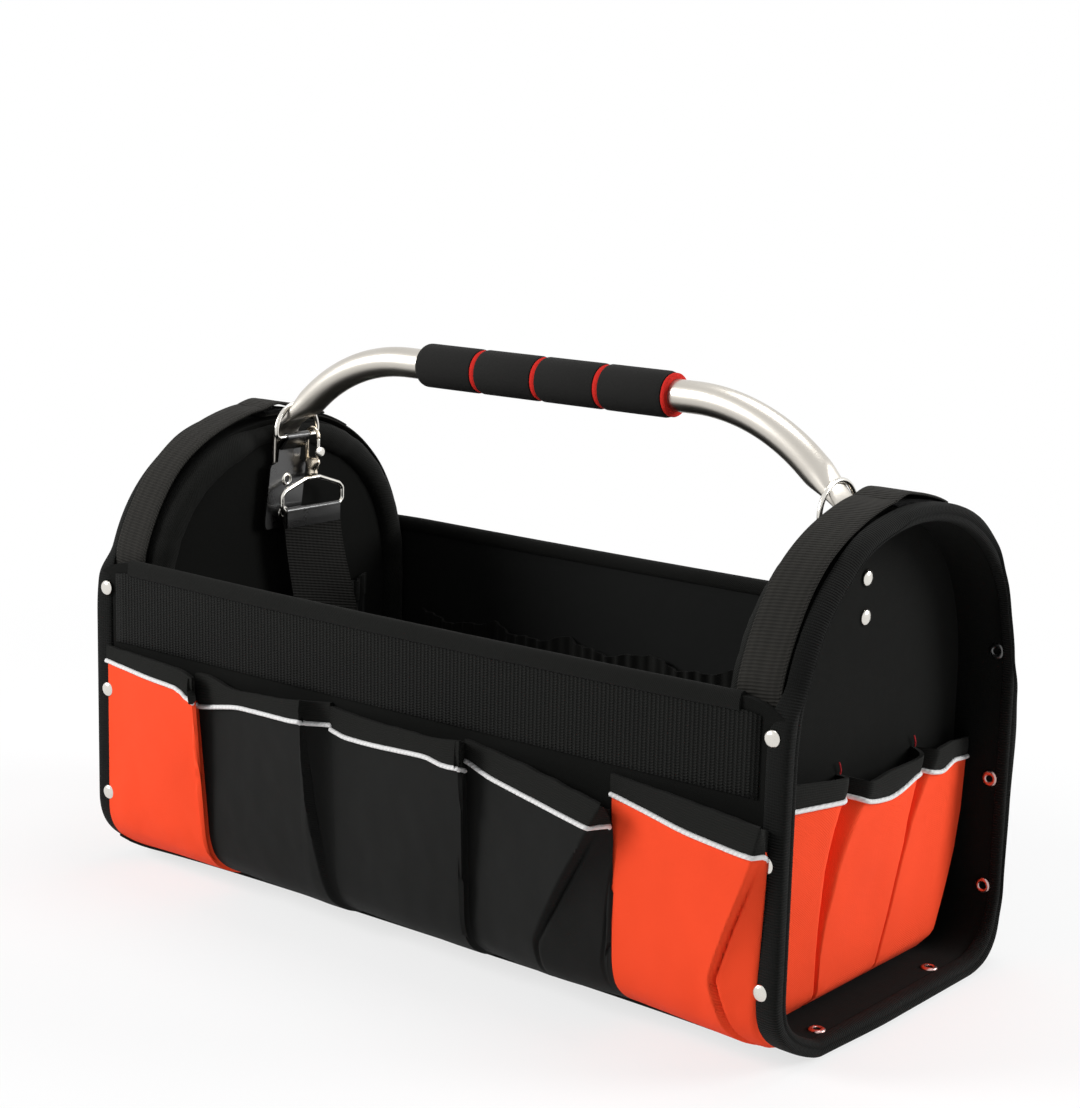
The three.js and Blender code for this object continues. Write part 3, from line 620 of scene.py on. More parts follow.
for i in range(25):  # the webbing carried over the slider's bar
    x = blendTo(low.x - slider["webOver"], high.x + slider["webOver"], i / 24)
    z = slider["web"] + slider["arch"] * math.sin(math.pi * i / 24) ** 2
    sections.append([Vector((x, strap["side"] + y * strap["width"] / 2, z + off * mm)) for y, off in
                     ((-1, -0.5), (-0.9, -1), (0.9, -1), (1, -0.5), (1, 0.5), (0.9, 1), (-0.9, 1), (-1, 0.5))])
sliderWeb = sweep("sliderWeb", sections, (2 * strap["width"], slider["webLength"]))
smoothByAngle(sliderWeb, 60)
dress(sliderWeb, cloth["strapWeb"], "black_cloth")
for obj, side, sign, depth, farEnd in ((strapLeft, "left", -1, 0.5, -strap["leftEnd"]),
                                       (strapRight, "right", 1, 1.0, strap["rightEnd"])):
    route = strapRoute(strap["layer"] * depth, farEnd)
    path = [(sign * p.x, strap["side"] + strap["drift"] * strapDrift(i / strap["steps"]), p.y)
            for i, p in enumerate(route)]
    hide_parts("strap_" + side)
    side + "_strap_eye"
    sign * strap["eyeX"]
    sign * strap["eyeX"]
    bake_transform(obj)
print("strap made")

# body: one wrap of stiff cloth from the front rim, under the floor, to the back rim
wrap = dict(bow=1.5 * mm, sag=1.5 * mm, ripple=0.6 * mm, cornerDrop=8 * mm, cornerStart=220 * mm,
            thickness=3.6 * mm, across=72, along=110, tuck=6.4 * mm, tuckBehind=0.13, bowBehind=0.2, lean=4.5 * mm,
            leanLow=140 * mm, leanStart=190 * mm, leanOver=50 * mm)


def edgeTuck(x, turn):  # how far the rounded lower edges draw in, by the angle below level
    middle = max(0.0, 1 - (x / bag["bodyEnd"]) ** 4)
    return blendTo(bag["endTuck"], wrap["tuck"], middle) * drawIn(turn)


def wallDrift(x, z, seed):  # how far the cloth bows out and sags between the ends
    rise = max(0.0, (z - bag["corner"]) / (bag["wallTop"] - bag["corner"]))
    middle = max(0.0, 1 - (x / bag["bodyEnd"]) ** 2)
    ripple = wrap["ripple"] * wobble(x, seed, z, 14)
    out = (wrap["bow"] * middle + ripple * middle) * rise ** 1.5
    past = max(0.0, (abs(x) - wrap["cornerStart"]) / (bag["bodyEnd"] - wrap["cornerStart"]))
    drop = wrap["sag"] * middle * rise ** 3 + wrap["cornerDrop"] * past ** 2 * rise ** 6
    if seed > 0:  # the back wall hangs straighter and leans in at its upper corners
        lean = ease((z - wrap["leanLow"]) / wrap["leanOver"]) * ease((abs(x) - wrap["leanStart"]) / wrap["leanOver"])
        out = wrap["bowBehind"] * out - wrap["lean"] * lean
    return out, drop


wrapProfile = [Vector((-bag["halfWidth"], bag["wallTop"]))]
wrapProfile += arc((-flatHalf, bag["corner"]), bag["corner"], 180, 270, 12)
wrapProfile += [Vector((-p.x, p.y)) for p in reversed(wrapProfile)]
wrapLine = evenPoints(wrapProfile, wrap["along"])
rows = []
for point in wrapLine:
    sign = -1 if point.x < 0 else 1
    row = []
    for i in range(wrap["across"] + 1):
        x = bag["bodyEnd"] * (1 - 2 * i / wrap["across"])
        out, drop = wallDrift(x, point.y, sign)
        place = Vector((x, point.x + sign * out, point.y - drop))
        if point.y < bag["corner"] and abs(point.x) > flatHalf:
            turn = math.atan2(bag["corner"] - point.y, abs(point.x) - flatHalf)
            tuck = edgeTuck(x, turn) * (1 if sign < 0 else wrap["tuckBehind"])
            place += Vector((0, -sign * tuck * math.cos(turn), tuck * math.sin(turn)))
        row.append(place)
    rows.append(row)
bodyShell = gridFrom("bodyShell", rows, (2 * bag["bodyEnd"], lineLength(wrapLine)))
bodyShell.data.materials.append(cloth["bodyCloth"])
bodyShell.data.materials.append(cloth["lining"])
thicken(bodyShell, wrap["thickness"], innerSlot=1)
smoothByAngle(bodyShell, 50)
dress(bodyShell, None, "black_cloth", stands=("base", "front_wall", "back_wall"))

# folded tape over the front and back rims
rimTape = dict(reach=221 * mm, steps=64, wide=32 * mm, puff=0.12, thinBehind=0.65, section=(
    (0.9, -7.6), (1.5, -7.2), (1.8, -5.5), (1.7, -3), (1.2, -0.4), (0.2, 1.2), (-1.2, 1.9), (-2.7, 1.8), (-4.1, 1.0),
    (-5.0, -0.8), (-5.4, -3), (-5.3, -5), (-5.0, -6.6), (-4.6, -7), (-2.0, -6)))
for name, sign in (("frontRimTape", -1), ("backRimTape", 1)):
    sections = []
    for i in range(rimTape["steps"] + 1):
        x = rimTape["reach"] * (2 * i / rimTape["steps"] - 1)
        out, drop = wallDrift(x, bag["wallTop"], sign)
        puff = 1 + rimTape["puff"] * wobble(x, sign, 0, 60)
        thin = 1 if sign < 0 else rimTape["thinBehind"]  # flatter behind the flap
        sections.append([Vector((x, sign * (bag["halfWidth"] + out + off * mm * puff * (thin if off > 0 else 1)),
                                 bag["wallTop"] - drop + up * mm)) for off, up in rimTape["section"]])
    tape = sweep(name, sections, (rimTape["wide"], 2 * rimTape["reach"]))
    smoothByAngle(tape, 50)
    dress(tape, cloth["rimTape"], "black_cloth")

# coarse mesh band above the front pockets
band = dict(reach=233 * mm, low=143 * mm, high=186.5 * mm, off=0.9 * mm, thickness=0.7 * mm, across=64, up=12)
rows = []
for j in range(band["up"] + 1):
    z = blendTo(band["low"], band["high"], j / band["up"])
    row = []
    for i in range(band["across"] + 1):
        x = band["reach"] * (2 * i / band["across"] - 1)
        out, drop = wallDrift(x, z, -1)
        row.append(Vector((x, -bag["halfWidth"] - out - band["off"], z - drop)))
    rows.append(row)
meshBand = gridFrom("frontMeshBand", rows, (2 * band["reach"], band["high"] - band["low"]))
thicken(meshBand, band["thickness"])
smoothAll(meshBand)
dress(meshBand, cloth["meshCloth"], "black_cloth")
print("body made")

# ends: rim band, padded panel, soft roll on the inner edge, ribbed binding on the outer edge
ends = dict(count=150, bindCount=260, rimStart=bag["panelIn"] + 2.5 * mm, rimEnd=bag["bodyEnd"], rimSoft=0.6 * mm,
            panelInset=8.4 * mm, panelEdge=1.2 * mm, panelMiddle=140 * mm, crown=2.2 * mm, panelRings=12,
            rollHalf=9.4 * mm, rollRise=8.8 * mm, rollX=213.6 * mm, rollInset=13.6 * mm, rollPuff=0.06,
            rollSize=(38 * mm, 0.38), topFrom=9, topOver=16, topLow=0.3, topThin=0.7, flatSide=0.2, flare=3.4 * mm,
            frontLift=((0, 0.2), (42, -2.4), (181, -2.4), (201, 1.4), (252, 1.4), (266, -0.8), (276, -0.2)),
            backLift=((0, 0.2), (5, -0.5), (13, -0.4), (26, 0.8), (48, 1.6), (90, 0.6), (132, -1.4), (156, 0.4),
                      (178, 5.4), (202, 6.4), (228, 4.0), (246, 0.8), (264, -0.8), (276, -0.4)))


def outlineSections(section, count):  # sections of (x, inset) carried round the outline of an end
    line = endOutline(0, count)
    normals = normalsOf(line, closed=True)
    sections = []
    for point, normal in zip(line[:-1], normals[:-1]):
        sections.append([Vector((x, point.x - normal.x * inset, point.y - normal.y * inset))
                         for x, inset in section(point)])
    return sections, lineLength(line)


def rimSection(point):
    a, b, soft = ends["rimStart"], ends["rimEnd"], ends["rimSoft"]
    low, high = bag["rimInset"], bag["rimInset"] + bag["rim"]
    return ((a, low + soft), (a + soft, low), (b - soft, low), (b, low + soft),
            (b, high - soft), (b - soft, high), (a + soft, high), (a, high - soft))


def bindingSection(point):  # (x, inset) in millimetres from the lip round the outer edge, made metres at the end
    share = ease((point.y - bag["wallTop"] + 12 * mm) / (20 * mm))
    lip = blendTo(236.5, 240.5, share)
    lift = heightAt(ends["backLift"] if point.x > 0 else ends["frontLift"], point.y / mm)
    drop = 4.0 * share * ease(-point.x / (30 * mm)) if point.x < 0 else 0.0
    face = max(3.4, lift + 2.6 + drop)
    ribs = ((lip, max(lift, -0.6) + 1.0), (lip + 0.5, max(lift, -1.6)), (243.6, lift - 0.1 + drop * 0.16),
            (247.2, lift - 0.3 + drop * 0.56), (249.6, lift + 0.5 + drop * 0.9), (250.5, lift + 2.0 + drop),
            (250.4, face), (249.6, max(4.4, face + 0.5)), (248.9, max(5.0, face + 0.9)), (249.7, max(5.8, face + 1.3)),
            (249.9, max(7.2, face + 1.8)), (249.0, max(8.8, face + 2.2)), (247.0, max(9.4, face + 2.5)),
            (244.2, max(9.2, face + 2.3)), (243.6, 8.5), (243.8, 7.0), (242.6, 4.0 + drop * 0.3))
    flare = ends["flare"] * ease(1 - point.y / (30 * mm)) * ease((point.x + 90 * mm) / (80 * mm))
    return [(x * mm + flare * max(0.0, x - 242.6) / 8, inset * mm) for x, inset in ribs]


def panelRow(x, share, middle):
    line = endOutline(ends["panelInset"], ends["count"])
    return [Vector((x, blendTo(middle.x, p.x, share), blendTo(middle.y, p.y, share))) for p in line]


rimSections, outlineLength = outlineSections(rimSection, ends["count"])
endRim = sweep("endRimRight", rimSections, (80 * mm, outlineLength), ring=True)
smoothByAngle(endRim, 50)
bindSections, outlineLength = outlineSections(bindingSection, ends["bindCount"])
binding = sweep("edgeBindingRight", bindSections, (52 * mm, outlineLength), ring=True)
subdivide(binding, 1)
smoothAll(binding)
middle = Vector((0, ends["panelMiddle"]))
rows = []
for i in range(ends["panelRings"] + 1):
    share = math.sin(math.pi / 2 * i / ends["panelRings"])
    rows.append(panelRow(bag["panelOut"] - ends["panelEdge"] + ends["crown"] * (1 - share ** 6), share, middle))
for i in range(ends["panelRings"] + 1):
    share = math.cos(math.pi / 2 * i / ends["panelRings"])
    rows.append(panelRow(bag["panelIn"] + ends["panelEdge"] - ends["crown"] * 0.5 * (1 - share ** 6), share, middle))
panel = gridFrom("endPanelRight", rows, (0.8, 0.3), closed=True)
for loop in panel.data.loops:
    co = panel.data.vertices[loop.vertex_index].co
    panel.data.uv_layers.active.data[loop.index].uv = (co.y, co.z)
smoothByAngle(panel, 60)
rollLine = [(-90, z) for z in range(70, 160, 10)] + [(blendTo(0, 180, i / 80), 0) for i in range(81)]
rollLine += [(270, z) for z in range(150, 60, -10)]
sections = []
for angle, low in rollLine:
    if low:  # beside the wall
        sign = -1 if angle < 0 else 1
        point = Vector((sign * (bag["halfWidth"] - ends["rollInset"]), low * mm))
        outer = Vector((sign, 0))
    else:
        point = archPoint(angle, ends["rollInset"])
        outer = archWay(angle, ends["rollInset"])
    puff = 1 + ends["rollPuff"] * wobble(angle * 0.02, 3, low, 12)
    top = 1 - ease((abs(angle - 90) - ends["topFrom"]) / ends["topOver"])  # 1 at the top, where it is lower
    section = []
    for k in range(16):
        turn = 2 * math.pi * k / 16
        rise = ends["rollRise"] * math.sin(turn) * puff * (1 - ends["topLow"] * top)
        half = ends["rollHalf"] * puff * (1 - ends["topThin"] * top) * (ends["flatSide"] if math.cos(turn) > 0 else 1)
        place = point + outer * rise
        section.append(Vector((ends["rollX"] + half * math.cos(turn), place.x, place.y)))
    sections.append(section)
archRoll = sweep("archRollRight", sections, ends["rollSize"])
smoothAll(archRoll)
for obj, material, node in ((endRim, "bodyCloth", "end_rim"), (panel, "bodyCloth", "end_panel"),
                            (archRoll, "rimTape", ""), (binding, "edgeTape", "edge_binding")):
    dressBoth(obj, cloth[material], "black_cloth", node=node)
for name, softness in (("endPanel", 0.3), ("archRoll", 0.7)):
    for side in ("Right", "Left"):
        bpy.data.objects[name + side]
print("ends made")

# webbing over each arch: front strap, lifted tip, back strap
archStrap = dict(low=214.2 * mm, high=240 * mm, thick=1.8 * mm, frontSpan=(9, 84), tipSpan=(84.2, 110),
                 backSpan=(84.4, 171), lowInset=0.9 * mm, highInset=-1.2 * mm, underInset=1.4 * mm, start=-2.8 * mm,
                 peak=-5.4 * mm, end=-1.5 * mm, plush=(84.6, 121), plushLift=1.3 * mm, sewn=3.4 * mm, sewnShare=0.14,
                 peakShare=0.26, riseFrom=0.25, riseOver=0.35, liftFrom=0.74, underTo=0.2, ripple=0.3 * mm, root=84.2,
                 free=88.5)


def archBand(name, span, inset, steps):
    middleX = (archStrap["low"] + archStrap["high"]) / 2
    half = (archStrap["high"] - archStrap["low"]) / 2
    thick = archStrap["thick"] / 2
    sections, line = [], []
    for i in range(steps + 1):
        angle = blendTo(span[0], span[1], i / steps)
        deep = inset(i / steps)
        point = archPoint(angle, deep)
        outer = archWay(angle, deep)
        line.append(point)
        section = []
        for across, off in ((-1, -0.4), (-0.9, -1), (-0.4, -1), (0.4, -1), (0.9, -1), (1, -0.4), (1, 0.4), (0.9, 1),
                            (0.4, 1), (-0.4, 1), (-0.9, 1), (-1, 0.4)):
            rise = off * thick + archStrap["ripple"] * wobble(across, angle * 0.05, 0, 2)
            section.append(Vector((middleX + across * half, point.x + outer.x * rise, point.y + outer.y * rise)))
        sections.append(section)
    obj = sweep(name, sections, (2 * half * 2, lineLength(line)))
    smoothByAngle(obj, 50)
    return obj


def frontInset(t):  # sewn in under the wall, lifting towards the tip
    sewn = archStrap["sewn"] * max(0, 1 - t / archStrap["sewnShare"])
    risen = ease((t - archStrap["riseFrom"]) / archStrap["riseOver"])
    low = blendTo(archStrap["lowInset"] + sewn, archStrap["highInset"], risen)
    return blendTo(low, archStrap["start"], ease((t - archStrap["liftFrom"]) / (1 - archStrap["liftFrom"])))


def backInset(t):  # sewn in under the wall, lower where the tip lies over it
    sewn = archStrap["sewn"] * max(0, 1 - (1 - t) / archStrap["sewnShare"])
    risen = ease(t / archStrap["underTo"] - 1)
    return blendTo(archStrap["underInset"], archStrap["lowInset"] + sewn, risen)


def tipInset(t):  # peaks over the top of the arch, then lies down towards its end
    peak = archStrap["peakShare"]
    if t < peak:
        return blendTo(archStrap["start"], archStrap["peak"], math.sin(math.pi / 2 * t / peak))
    return blendTo(archStrap["peak"], archStrap["end"], ((t - peak) / (1 - peak)) ** 0.75)


def plushInset(t):
    return archStrap["underInset"] - archStrap["plushLift"]


bands = ((archBand("archStrapFrontRight", archStrap["frontSpan"], frontInset, 50), "arch_strap_front"),
         (archBand("archStrapTipRight", archStrap["tipSpan"], tipInset, 18), "arch_strap_tip"),
         (archBand("archStrapBackRight", archStrap["backSpan"], backInset, 50), "arch_strap_back"),
         (archBand("archPlushRight", archStrap["plush"], plushInset, 16), ""))
root, free = archPoint(archStrap["root"], 0), archPoint(archStrap["free"], 0)
for obj, node in bands:
    if node != "arch_strap_tip":
        dressBoth(obj, cloth["webbing" if node else "plush"], "black_cloth", node=node)
        continue
    for piece, side in ((obj, "right_"), (mirrorCopy(obj, "archStrapTipLeft"), "left_")):
        piece.data.materials.append(cloth["webbing"])  # the tip, shaped to lift off the arch
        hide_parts(side + node)
        side + node
        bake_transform(piece)
print("webbing made")

# rivets: a domed head and a rolled back, each made once and copied to its places
rivet = dict(dome=((0, 2.0), (1.4, 1.95), (2.6, 1.8), (3.6, 1.45), (4.3, 0.85), (4.6, 0.3), (4.6, 0), (0, 0)),
             eyelet=((2.0, 0.2), (2.0, 0.9), (2.6, 1.3), (3.6, 1.25), (4.4, 0.8), (4.7, 0.2), (4.7, 0), (2.0, 0)),
             front=(46, 111.5, 175), back=(42, 105, 179), headX=240.5 * mm, headOut=1.5 * mm, backX=240 * mm,
             backIn=8.4 * mm, tabOut=1.2 * mm, tabBackX=204.8 * mm, floorX=239 * mm, floorZ=8.2 * mm,
             floor=(("Front", -62 * mm), ("Back", 54 * mm)))
tabLean = dict(aside=-7 * mm, top=252 * mm, high=49 * mm)
domeMould = turned("domeMould", [(r * mm, a * mm) for r, a in rivet["dome"]], (0, 0, 0), (0, 0, 1))
smoothByAngle(domeMould, 40)
eyeletRows = [(r * mm, a * mm) for r, a in rivet["eyelet"] + (rivet["eyelet"][0],)]
eyeletMould = turned("eyeletMould", eyeletRows, (0, 0, 0), (0, 0, 1))
smoothByAngle(eyeletMould, 50)


def tabTilt(z):  # the left tab hangs askew
    return tabLean["aside"] * max(0.0, (tabLean["top"] - z) / tabLean["high"])


def copyTo(mould, name, place, way):
    copy = ownCopy(mould, name)
    turnTo = Vector((0, 0, 1)).rotation_difference(Vector(way)).to_matrix().to_4x4()
    copy.data.transform(Matrix.Translation(Vector(place)) @ turnTo)
    return copy


for side, sign in (("right", 1), ("left", -1)):
    for face, ySign in (("front", -1), ("back", 1)):
        for number, z in enumerate(rivet[face], 1):
            node = side + "_" + face + "_rivet_" + str(number)
            out = wallDrift(rivet["backX"], z * mm, ySign)[0]
            place = (sign * rivet["headX"], ySign * (bag["halfWidth"] + out + rivet["headOut"]), z * mm)
            dress(copyTo(domeMould, node + "Head", place, (0, ySign, 0)), nickel, "steel", stands=(node,))
            above = max(0.0, (z * mm - bag["spring"]) / (bag["archTop"] - bag["spring"]))
            depth = bag["halfWidth"] * math.sqrt(1 - above ** 2) - rivet["backIn"]
            eyelet = copyTo(eyeletMould, node + "Back", (sign * rivet["backX"], ySign * depth, z * mm), (0, -ySign, 0))
            # the lower eyelet backs get a red-tinted metal, the top ones a dark grey metal
            dress(eyelet, gunmetal if number == 3 else redMetal, "steel")
    for number in (1, 2):
        node = side + "_tab_rivet_" + str(number)
        low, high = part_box(node)
        z = (low.z + high.z) / 2
        head = (sign * (bag["panelOut"] + rivet["tabOut"]), 0, z)
        dress(copyTo(domeMould, node + "Head", head, (sign, 0, 0)), nickel, "steel", stands=(node,))
        clinch = (sign * rivet["tabBackX"], tabTilt(z) if sign < 0 else 0, z)
        dress(copyTo(eyeletMould, node + "Back", clinch, (-sign, 0, 0)), nickel, "steel")
    for name, y in rivet["floor"]:
        place = (sign * rivet["floorX"], y, rivet["floorZ"])
        dress(copyTo(eyeletMould, side + "FloorRivet" + name, place, (0, 0, 1)), redMetal, "steel")
bpy.data.objects.remove(domeMould)
bpy.data.objects.remove(eyeletMould)
print("rivets made")

# front pockets: gusseted, each standing furthest off near its right end
front = dict(plane=-122.5 * mm, gap=1.8 * mm, wrapTurn=math.radians(58), across=150, along=44, thickness=1.3 * mm,
             hemLift=0.8 * mm, pipe=1.35 * mm, height=140 * mm, fullness=1.08, underHem=0.15, foldBack=1.9,
             belly=1.6 * mm, crumple=1.3 * mm, crease=0.5 * mm)
frontPockets = (
    dict(top=(-237, -158), foot=(-241, -146), depth=10, colour="pocketOrange", cut=15 * mm, folds=(),
         ridge=((0, 0.985), (0.5, 0.98), (1, 0.965)),
         hem=((-237, 140), (-198, 137.5), (-170, 136), (-158, 131)),
         pipe=((-237, 131), (-198, 126.5), (-171, 124.5), (-167, 119), (-158, 118))),
    dict(top=(-158, -48), foot=(-146, -45), depth=13, colour="pocketBlack",
         folds=((3.0, ((0, 0.99), (0.25, 0.95), (0.6, 0.86), (1, 0.78))),),
         ridge=((0, 0.985), (0.25, 0.95), (0.6, 0.86), (1, 0.78)),
         hem=((-158, 136), (-148, 137), (-127, 132), (-86, 134), (-48, 139)),
         pipe=((-158, 117), (-123, 123), (-78, 123), (-48, 127))),
    dict(top=(-48, 51), foot=(-45, 55), depth=12, colour="pocketBlack", ridge=((0, 0.98), (1, 0.965)),
         folds=(),
         hem=((-48, 137), (-20, 134.5), (30, 133.5), (51, 136)),
         pipe=((-48, 125), (-40, 122), (-20, 121.5), (25, 123), (34, 120), (51, 121))),
    dict(top=(51, 148), foot=(55, 151), depth=14, colour="pocketBlack", fade=0.65,
         folds=((3.2, ((0, 0.5), (0.3, 0.5), (0.7, 0.76), (1, 0.94))),
                (2.4, ((0, 0.97), (0.3, 0.9), (0.6, 0.92), (1, 0.97)))),
         ridge=((0, 0.52), (0.35, 0.53), (0.7, 0.76), (1, 0.94)),
         hem=((51, 138), (89, 132), (137, 122), (148, 119)),
         pipe=((51, 127), (68, 121), (102, 114), (136, 107), (148, 109))),
    dict(top=(148, 243), foot=(151, 238), depth=12, colour="pocketOrange", back=1.2, sewn=1,
         folds=((2.8, ((0, 0.9), (0.16, 0.8), (0.36, 0.7), (0.7, 0.85), (1, 0.97))),),
         ridge=((0, 0.86), (0.16, 0.8), (0.36, 0.72), (0.7, 0.86), (1, 0.955)),
         hem=((148, 139), (196, 134.5), (243, 129)),
         pipe=((148, 129), (173, 124), (196, 119), (226, 115), (243, 114))))
footLength = bag["corner"] * front["wrapTurn"]


def seenPoint(x, z, off):  # a point seen at (x, z) on the seam plane, brought forward along the line of sight
    share = (off - (-front["plane"] - bag["halfWidth"])) / (front["plane"] - view["place"][1])
    return x + (view["place"][0] - x) * share, z + (view["place"][2] - z) * share


def frontPoint(x, climb, off):  # a point off the front cloth; climb runs up it from the foot of the pockets
    if climb < footLength:
        turn = front["wrapTurn"] - climb / bag["corner"]
        reach = bag["corner"] + off - edgeTuck(x, turn)
        return Vector((x, -flatHalf - reach * math.cos(turn), bag["corner"] - reach * math.sin(turn)))
    z = bag["corner"] + climb - footLength
    return Vector((x, -bag["halfWidth"] - off - wallDrift(x, z, -1)[0], z))


def straightAt(points, x):  # a value read off a short list, straight between its points
    for (xa, va), (xb, vb) in zip(points, points[1:]):
        if x <= xb:
            return blendTo(va, vb, max(0.0, (x - xa) / (xb - xa)))
    return points[-1][1]


def softAt(points, x):  # the same with its corners rounded
    return (straightAt(points, x - 5) + 2 * straightAt(points, x) + straightAt(points, x + 5)) / 4


def foldShape(away):  # a crease: swells up to it from the left, a deep groove, then a lower slope; away in millimetres
    if away < 0:
        return 0.6 * math.exp(away / 14)
    groove = 1.5 * math.exp(-((away - 1.6) / 1.0) ** 2)
    return 1.1 * math.exp(-away / 1.5) - 0.5 * math.exp(-away / 12) - groove


def gusset(u, ridge, back):  # rises from the left seam to the ridge, then folds back to the right seam
    if u < ridge:
        s = u / ridge
        return 0.5 * s + 0.5 * ease(s)
    return ((1 - u) / (1 - ridge)) ** back


def pocketPoint(p, u, t, lift=0.0, level=1.0):  # level: 0 at the piping, 1 at the top of the hem
    seenX = blendTo(p["top"][0], p["top"][1], u)
    back = p.get("back", front["foldBack"])
    mouthOff = front["gap"] + p["depth"] * mm * gusset(u, p["ridge"][-1][1], back)
    seenTop = softAt(p["hem"], seenX)
    seenZ = blendTo(softAt(p["pipe"], seenX), seenTop, level)
    topX, topZ = seenPoint(seenX * mm, seenZ * mm, mouthOff)
    fullClimb = footLength + seenPoint(seenX * mm, seenTop * mm, mouthOff)[1] - bag["corner"]
    start = p.get("cut", 0) * max(0.0, 1 - u / 0.22) ** 2
    climb = blendTo(start, footLength + topZ - bag["corner"], t)
    share = climb / fullClimb
    x = blendTo(blendTo(p["foot"][0], p["foot"][1], u) * mm, topX, share)
    free = math.sin(math.pi * min(1, share)) * min(1, 8 * u * (1 - u))
    belly = front["belly"] * math.sin(math.pi * min(1, share)) * math.sin(math.pi * u)
    crumple = (front["crumple"] * wobble(x, 5, climb, 24) + front["crease"] * wobble(x, 1, climb, 70)) * free
    ridge = straightAt(p["ridge"], share)
    fold = ease(share / p.get("fade", 0.01))
    shape = blendTo(0.6 * math.sin(math.pi * u), gusset(u, ridge, back), fold)
    gap = front["gap"] * (1 - 0.85 * ease((u - 0.93) / 0.06) * p.get("sewn", 0))
    off = gap + p["depth"] * mm * min(1.02, share) ** 0.7 * shape
    for size, path in p["folds"]:
        off += size * mm * foldShape((u - straightAt(path, share)) * (p["top"][1] - p["top"][0])) * free * fold
    sway = 0.5 * mm * wobble(x, 8, 0, 90) * max(0, share - 0.9) * 10
    return frontPoint(x, climb + sway, max(gap, off + belly + crumple) + lift)


def clothStrip(name, across, along, place, thickness, uvSize):  # a sheet with its own thickness
    rows = [[place(i / across, j / along) for i in range(across + 1)] for j in range(along + 1)]
    obj = gridFrom(name, rows, uvSize)
    thicken(obj, thickness)
    smoothByAngle(obj, 60)
    return obj


for number, p in enumerate(frontPockets, 1):
    width = (p["top"][1] - p["top"][0]) * mm
    name = "frontPocket" + str(number)
    pocket = clothStrip(name, front["across"], front["along"], lambda u, t: pocketPoint(p, u, t, 0, front["underHem"]),
                        front["thickness"], (width, front["height"]))
    dress(pocket, cloth[p["colour"]], "orange_cloth" if p["colour"] == "pocketOrange" else "black_cloth",
          stands=("front_pocket_" + str(number),))
    hem = clothStrip(name + "Hem", front["across"], 8,
                     lambda u, t: pocketPoint(p, u, 1, front["hemLift"] + 0.5 * mm * math.sin(math.pi * t), t * 1.05),
                     front["hemLift"] + front["thickness"] + 0.6 * mm, (width, 13 * mm))
    dress(hem, cloth["hemTape"], "black_cloth")
    cordLine = [pocketPoint(p, i / 60, 1, front["hemLift"] + 0.3 * mm, 0) for i in range(61)]
    trim = roundTube(name + "Piping", cordLine, front["pipe"], 10)
    dress(trim, piping, "orange_cloth")
    width * front["fullness"]
footLine = [pocketPoint(p, i / 20, 0, 0.4 * mm) for p in frontPockets for i in range(20)][:-3]
dress(roundTube("frontFootTape", footLine, 1.2 * mm, 10), cloth["hemTape"], "black_cloth")
print("front pockets made")

# end pockets: three bellied compartments, their lower corners following the rim
endPocket = dict(half=108 * mm, gap=2.4 * mm, low=10.5, across=150, along=36, thickness=1.3 * mm, height=125 * mm,
                 fullness=1.12, underHem=0.15, hemThick=2.4 * mm, hemHigh=11 * mm, pipeRadius=1.3 * mm,
                 thread=0.45 * mm, crumple=1.2 * mm, sink=0.8 * mm,
                 taper=((10, 74), (14, 78), (19, 83), (42, 93), (62, 101), (86, 106), (110, 107)),
                 stand=((-108, 4), (-75, 10), (-45, 14), (-10, 14.5), (20, 14), (45, 12.5), (75, 10.5),
                        (95, 8), (108, 6)),
                 hem=((-108, 140), (-78, 139.5), (-41, 135.6), (-34, 135), (-20, 131), (-11, 127.5), (8, 129.5),
                      (40, 129), (47, 130.5), (59, 129.5), (66, 129), (84, 129.5), (108, 126.5)),
                 pipe=((-108, 128.5), (-76.7, 126.3), (-42, 124.2), (-34, 123.4), (-20, 122.5), (-11, 118.2),
                       (2, 116.2), (17.8, 114.9), (33, 117.5), (41, 120), (47, 120.8), (59, 119.3), (66, 117.4),
                       (79, 114.7), (84, 117.5), (87.5, 119), (108, 115.6)))
valleys = (  # by share of the height: the place of the fold's left ridge, its width, its depth
    dict(ridge=((0, -46), (0.1, -47), (0.3, -49), (0.43, -49.5), (0.62, -48.5), (0.8, -44), (0.93, -38.5), (1, -37)),
         width=((0, 2), (0.25, 3), (0.4, 5.5), (0.55, 11), (0.72, 16), (0.85, 21), (0.95, 25), (1, 26)),
         deep=((0, 1), (1, 1))),
    dict(ridge=((0, 12), (0.16, 17), (0.29, 22), (0.49, 28.5), (0.61, 33), (0.72, 35), (0.93, 42.5), (1, 44.5)),
         width=((0, 2), (0.55, 3), (0.7, 6), (0.85, 13), (1, 21)),
         deep=((0, 0.1), (0.2, 0.35), (0.6, 0.4), (0.9, 1), (1, 1))))


def valleyAt(v, share):  # its deepest place and how far each side reaches, in metres
    ridge, width = straightAt(v["ridge"], share) * mm, straightAt(v["width"], share) * mm
    return ridge + 0.68 * width, 0.68 * width + 0.8 * mm, 0.32 * width + 0.8 * mm


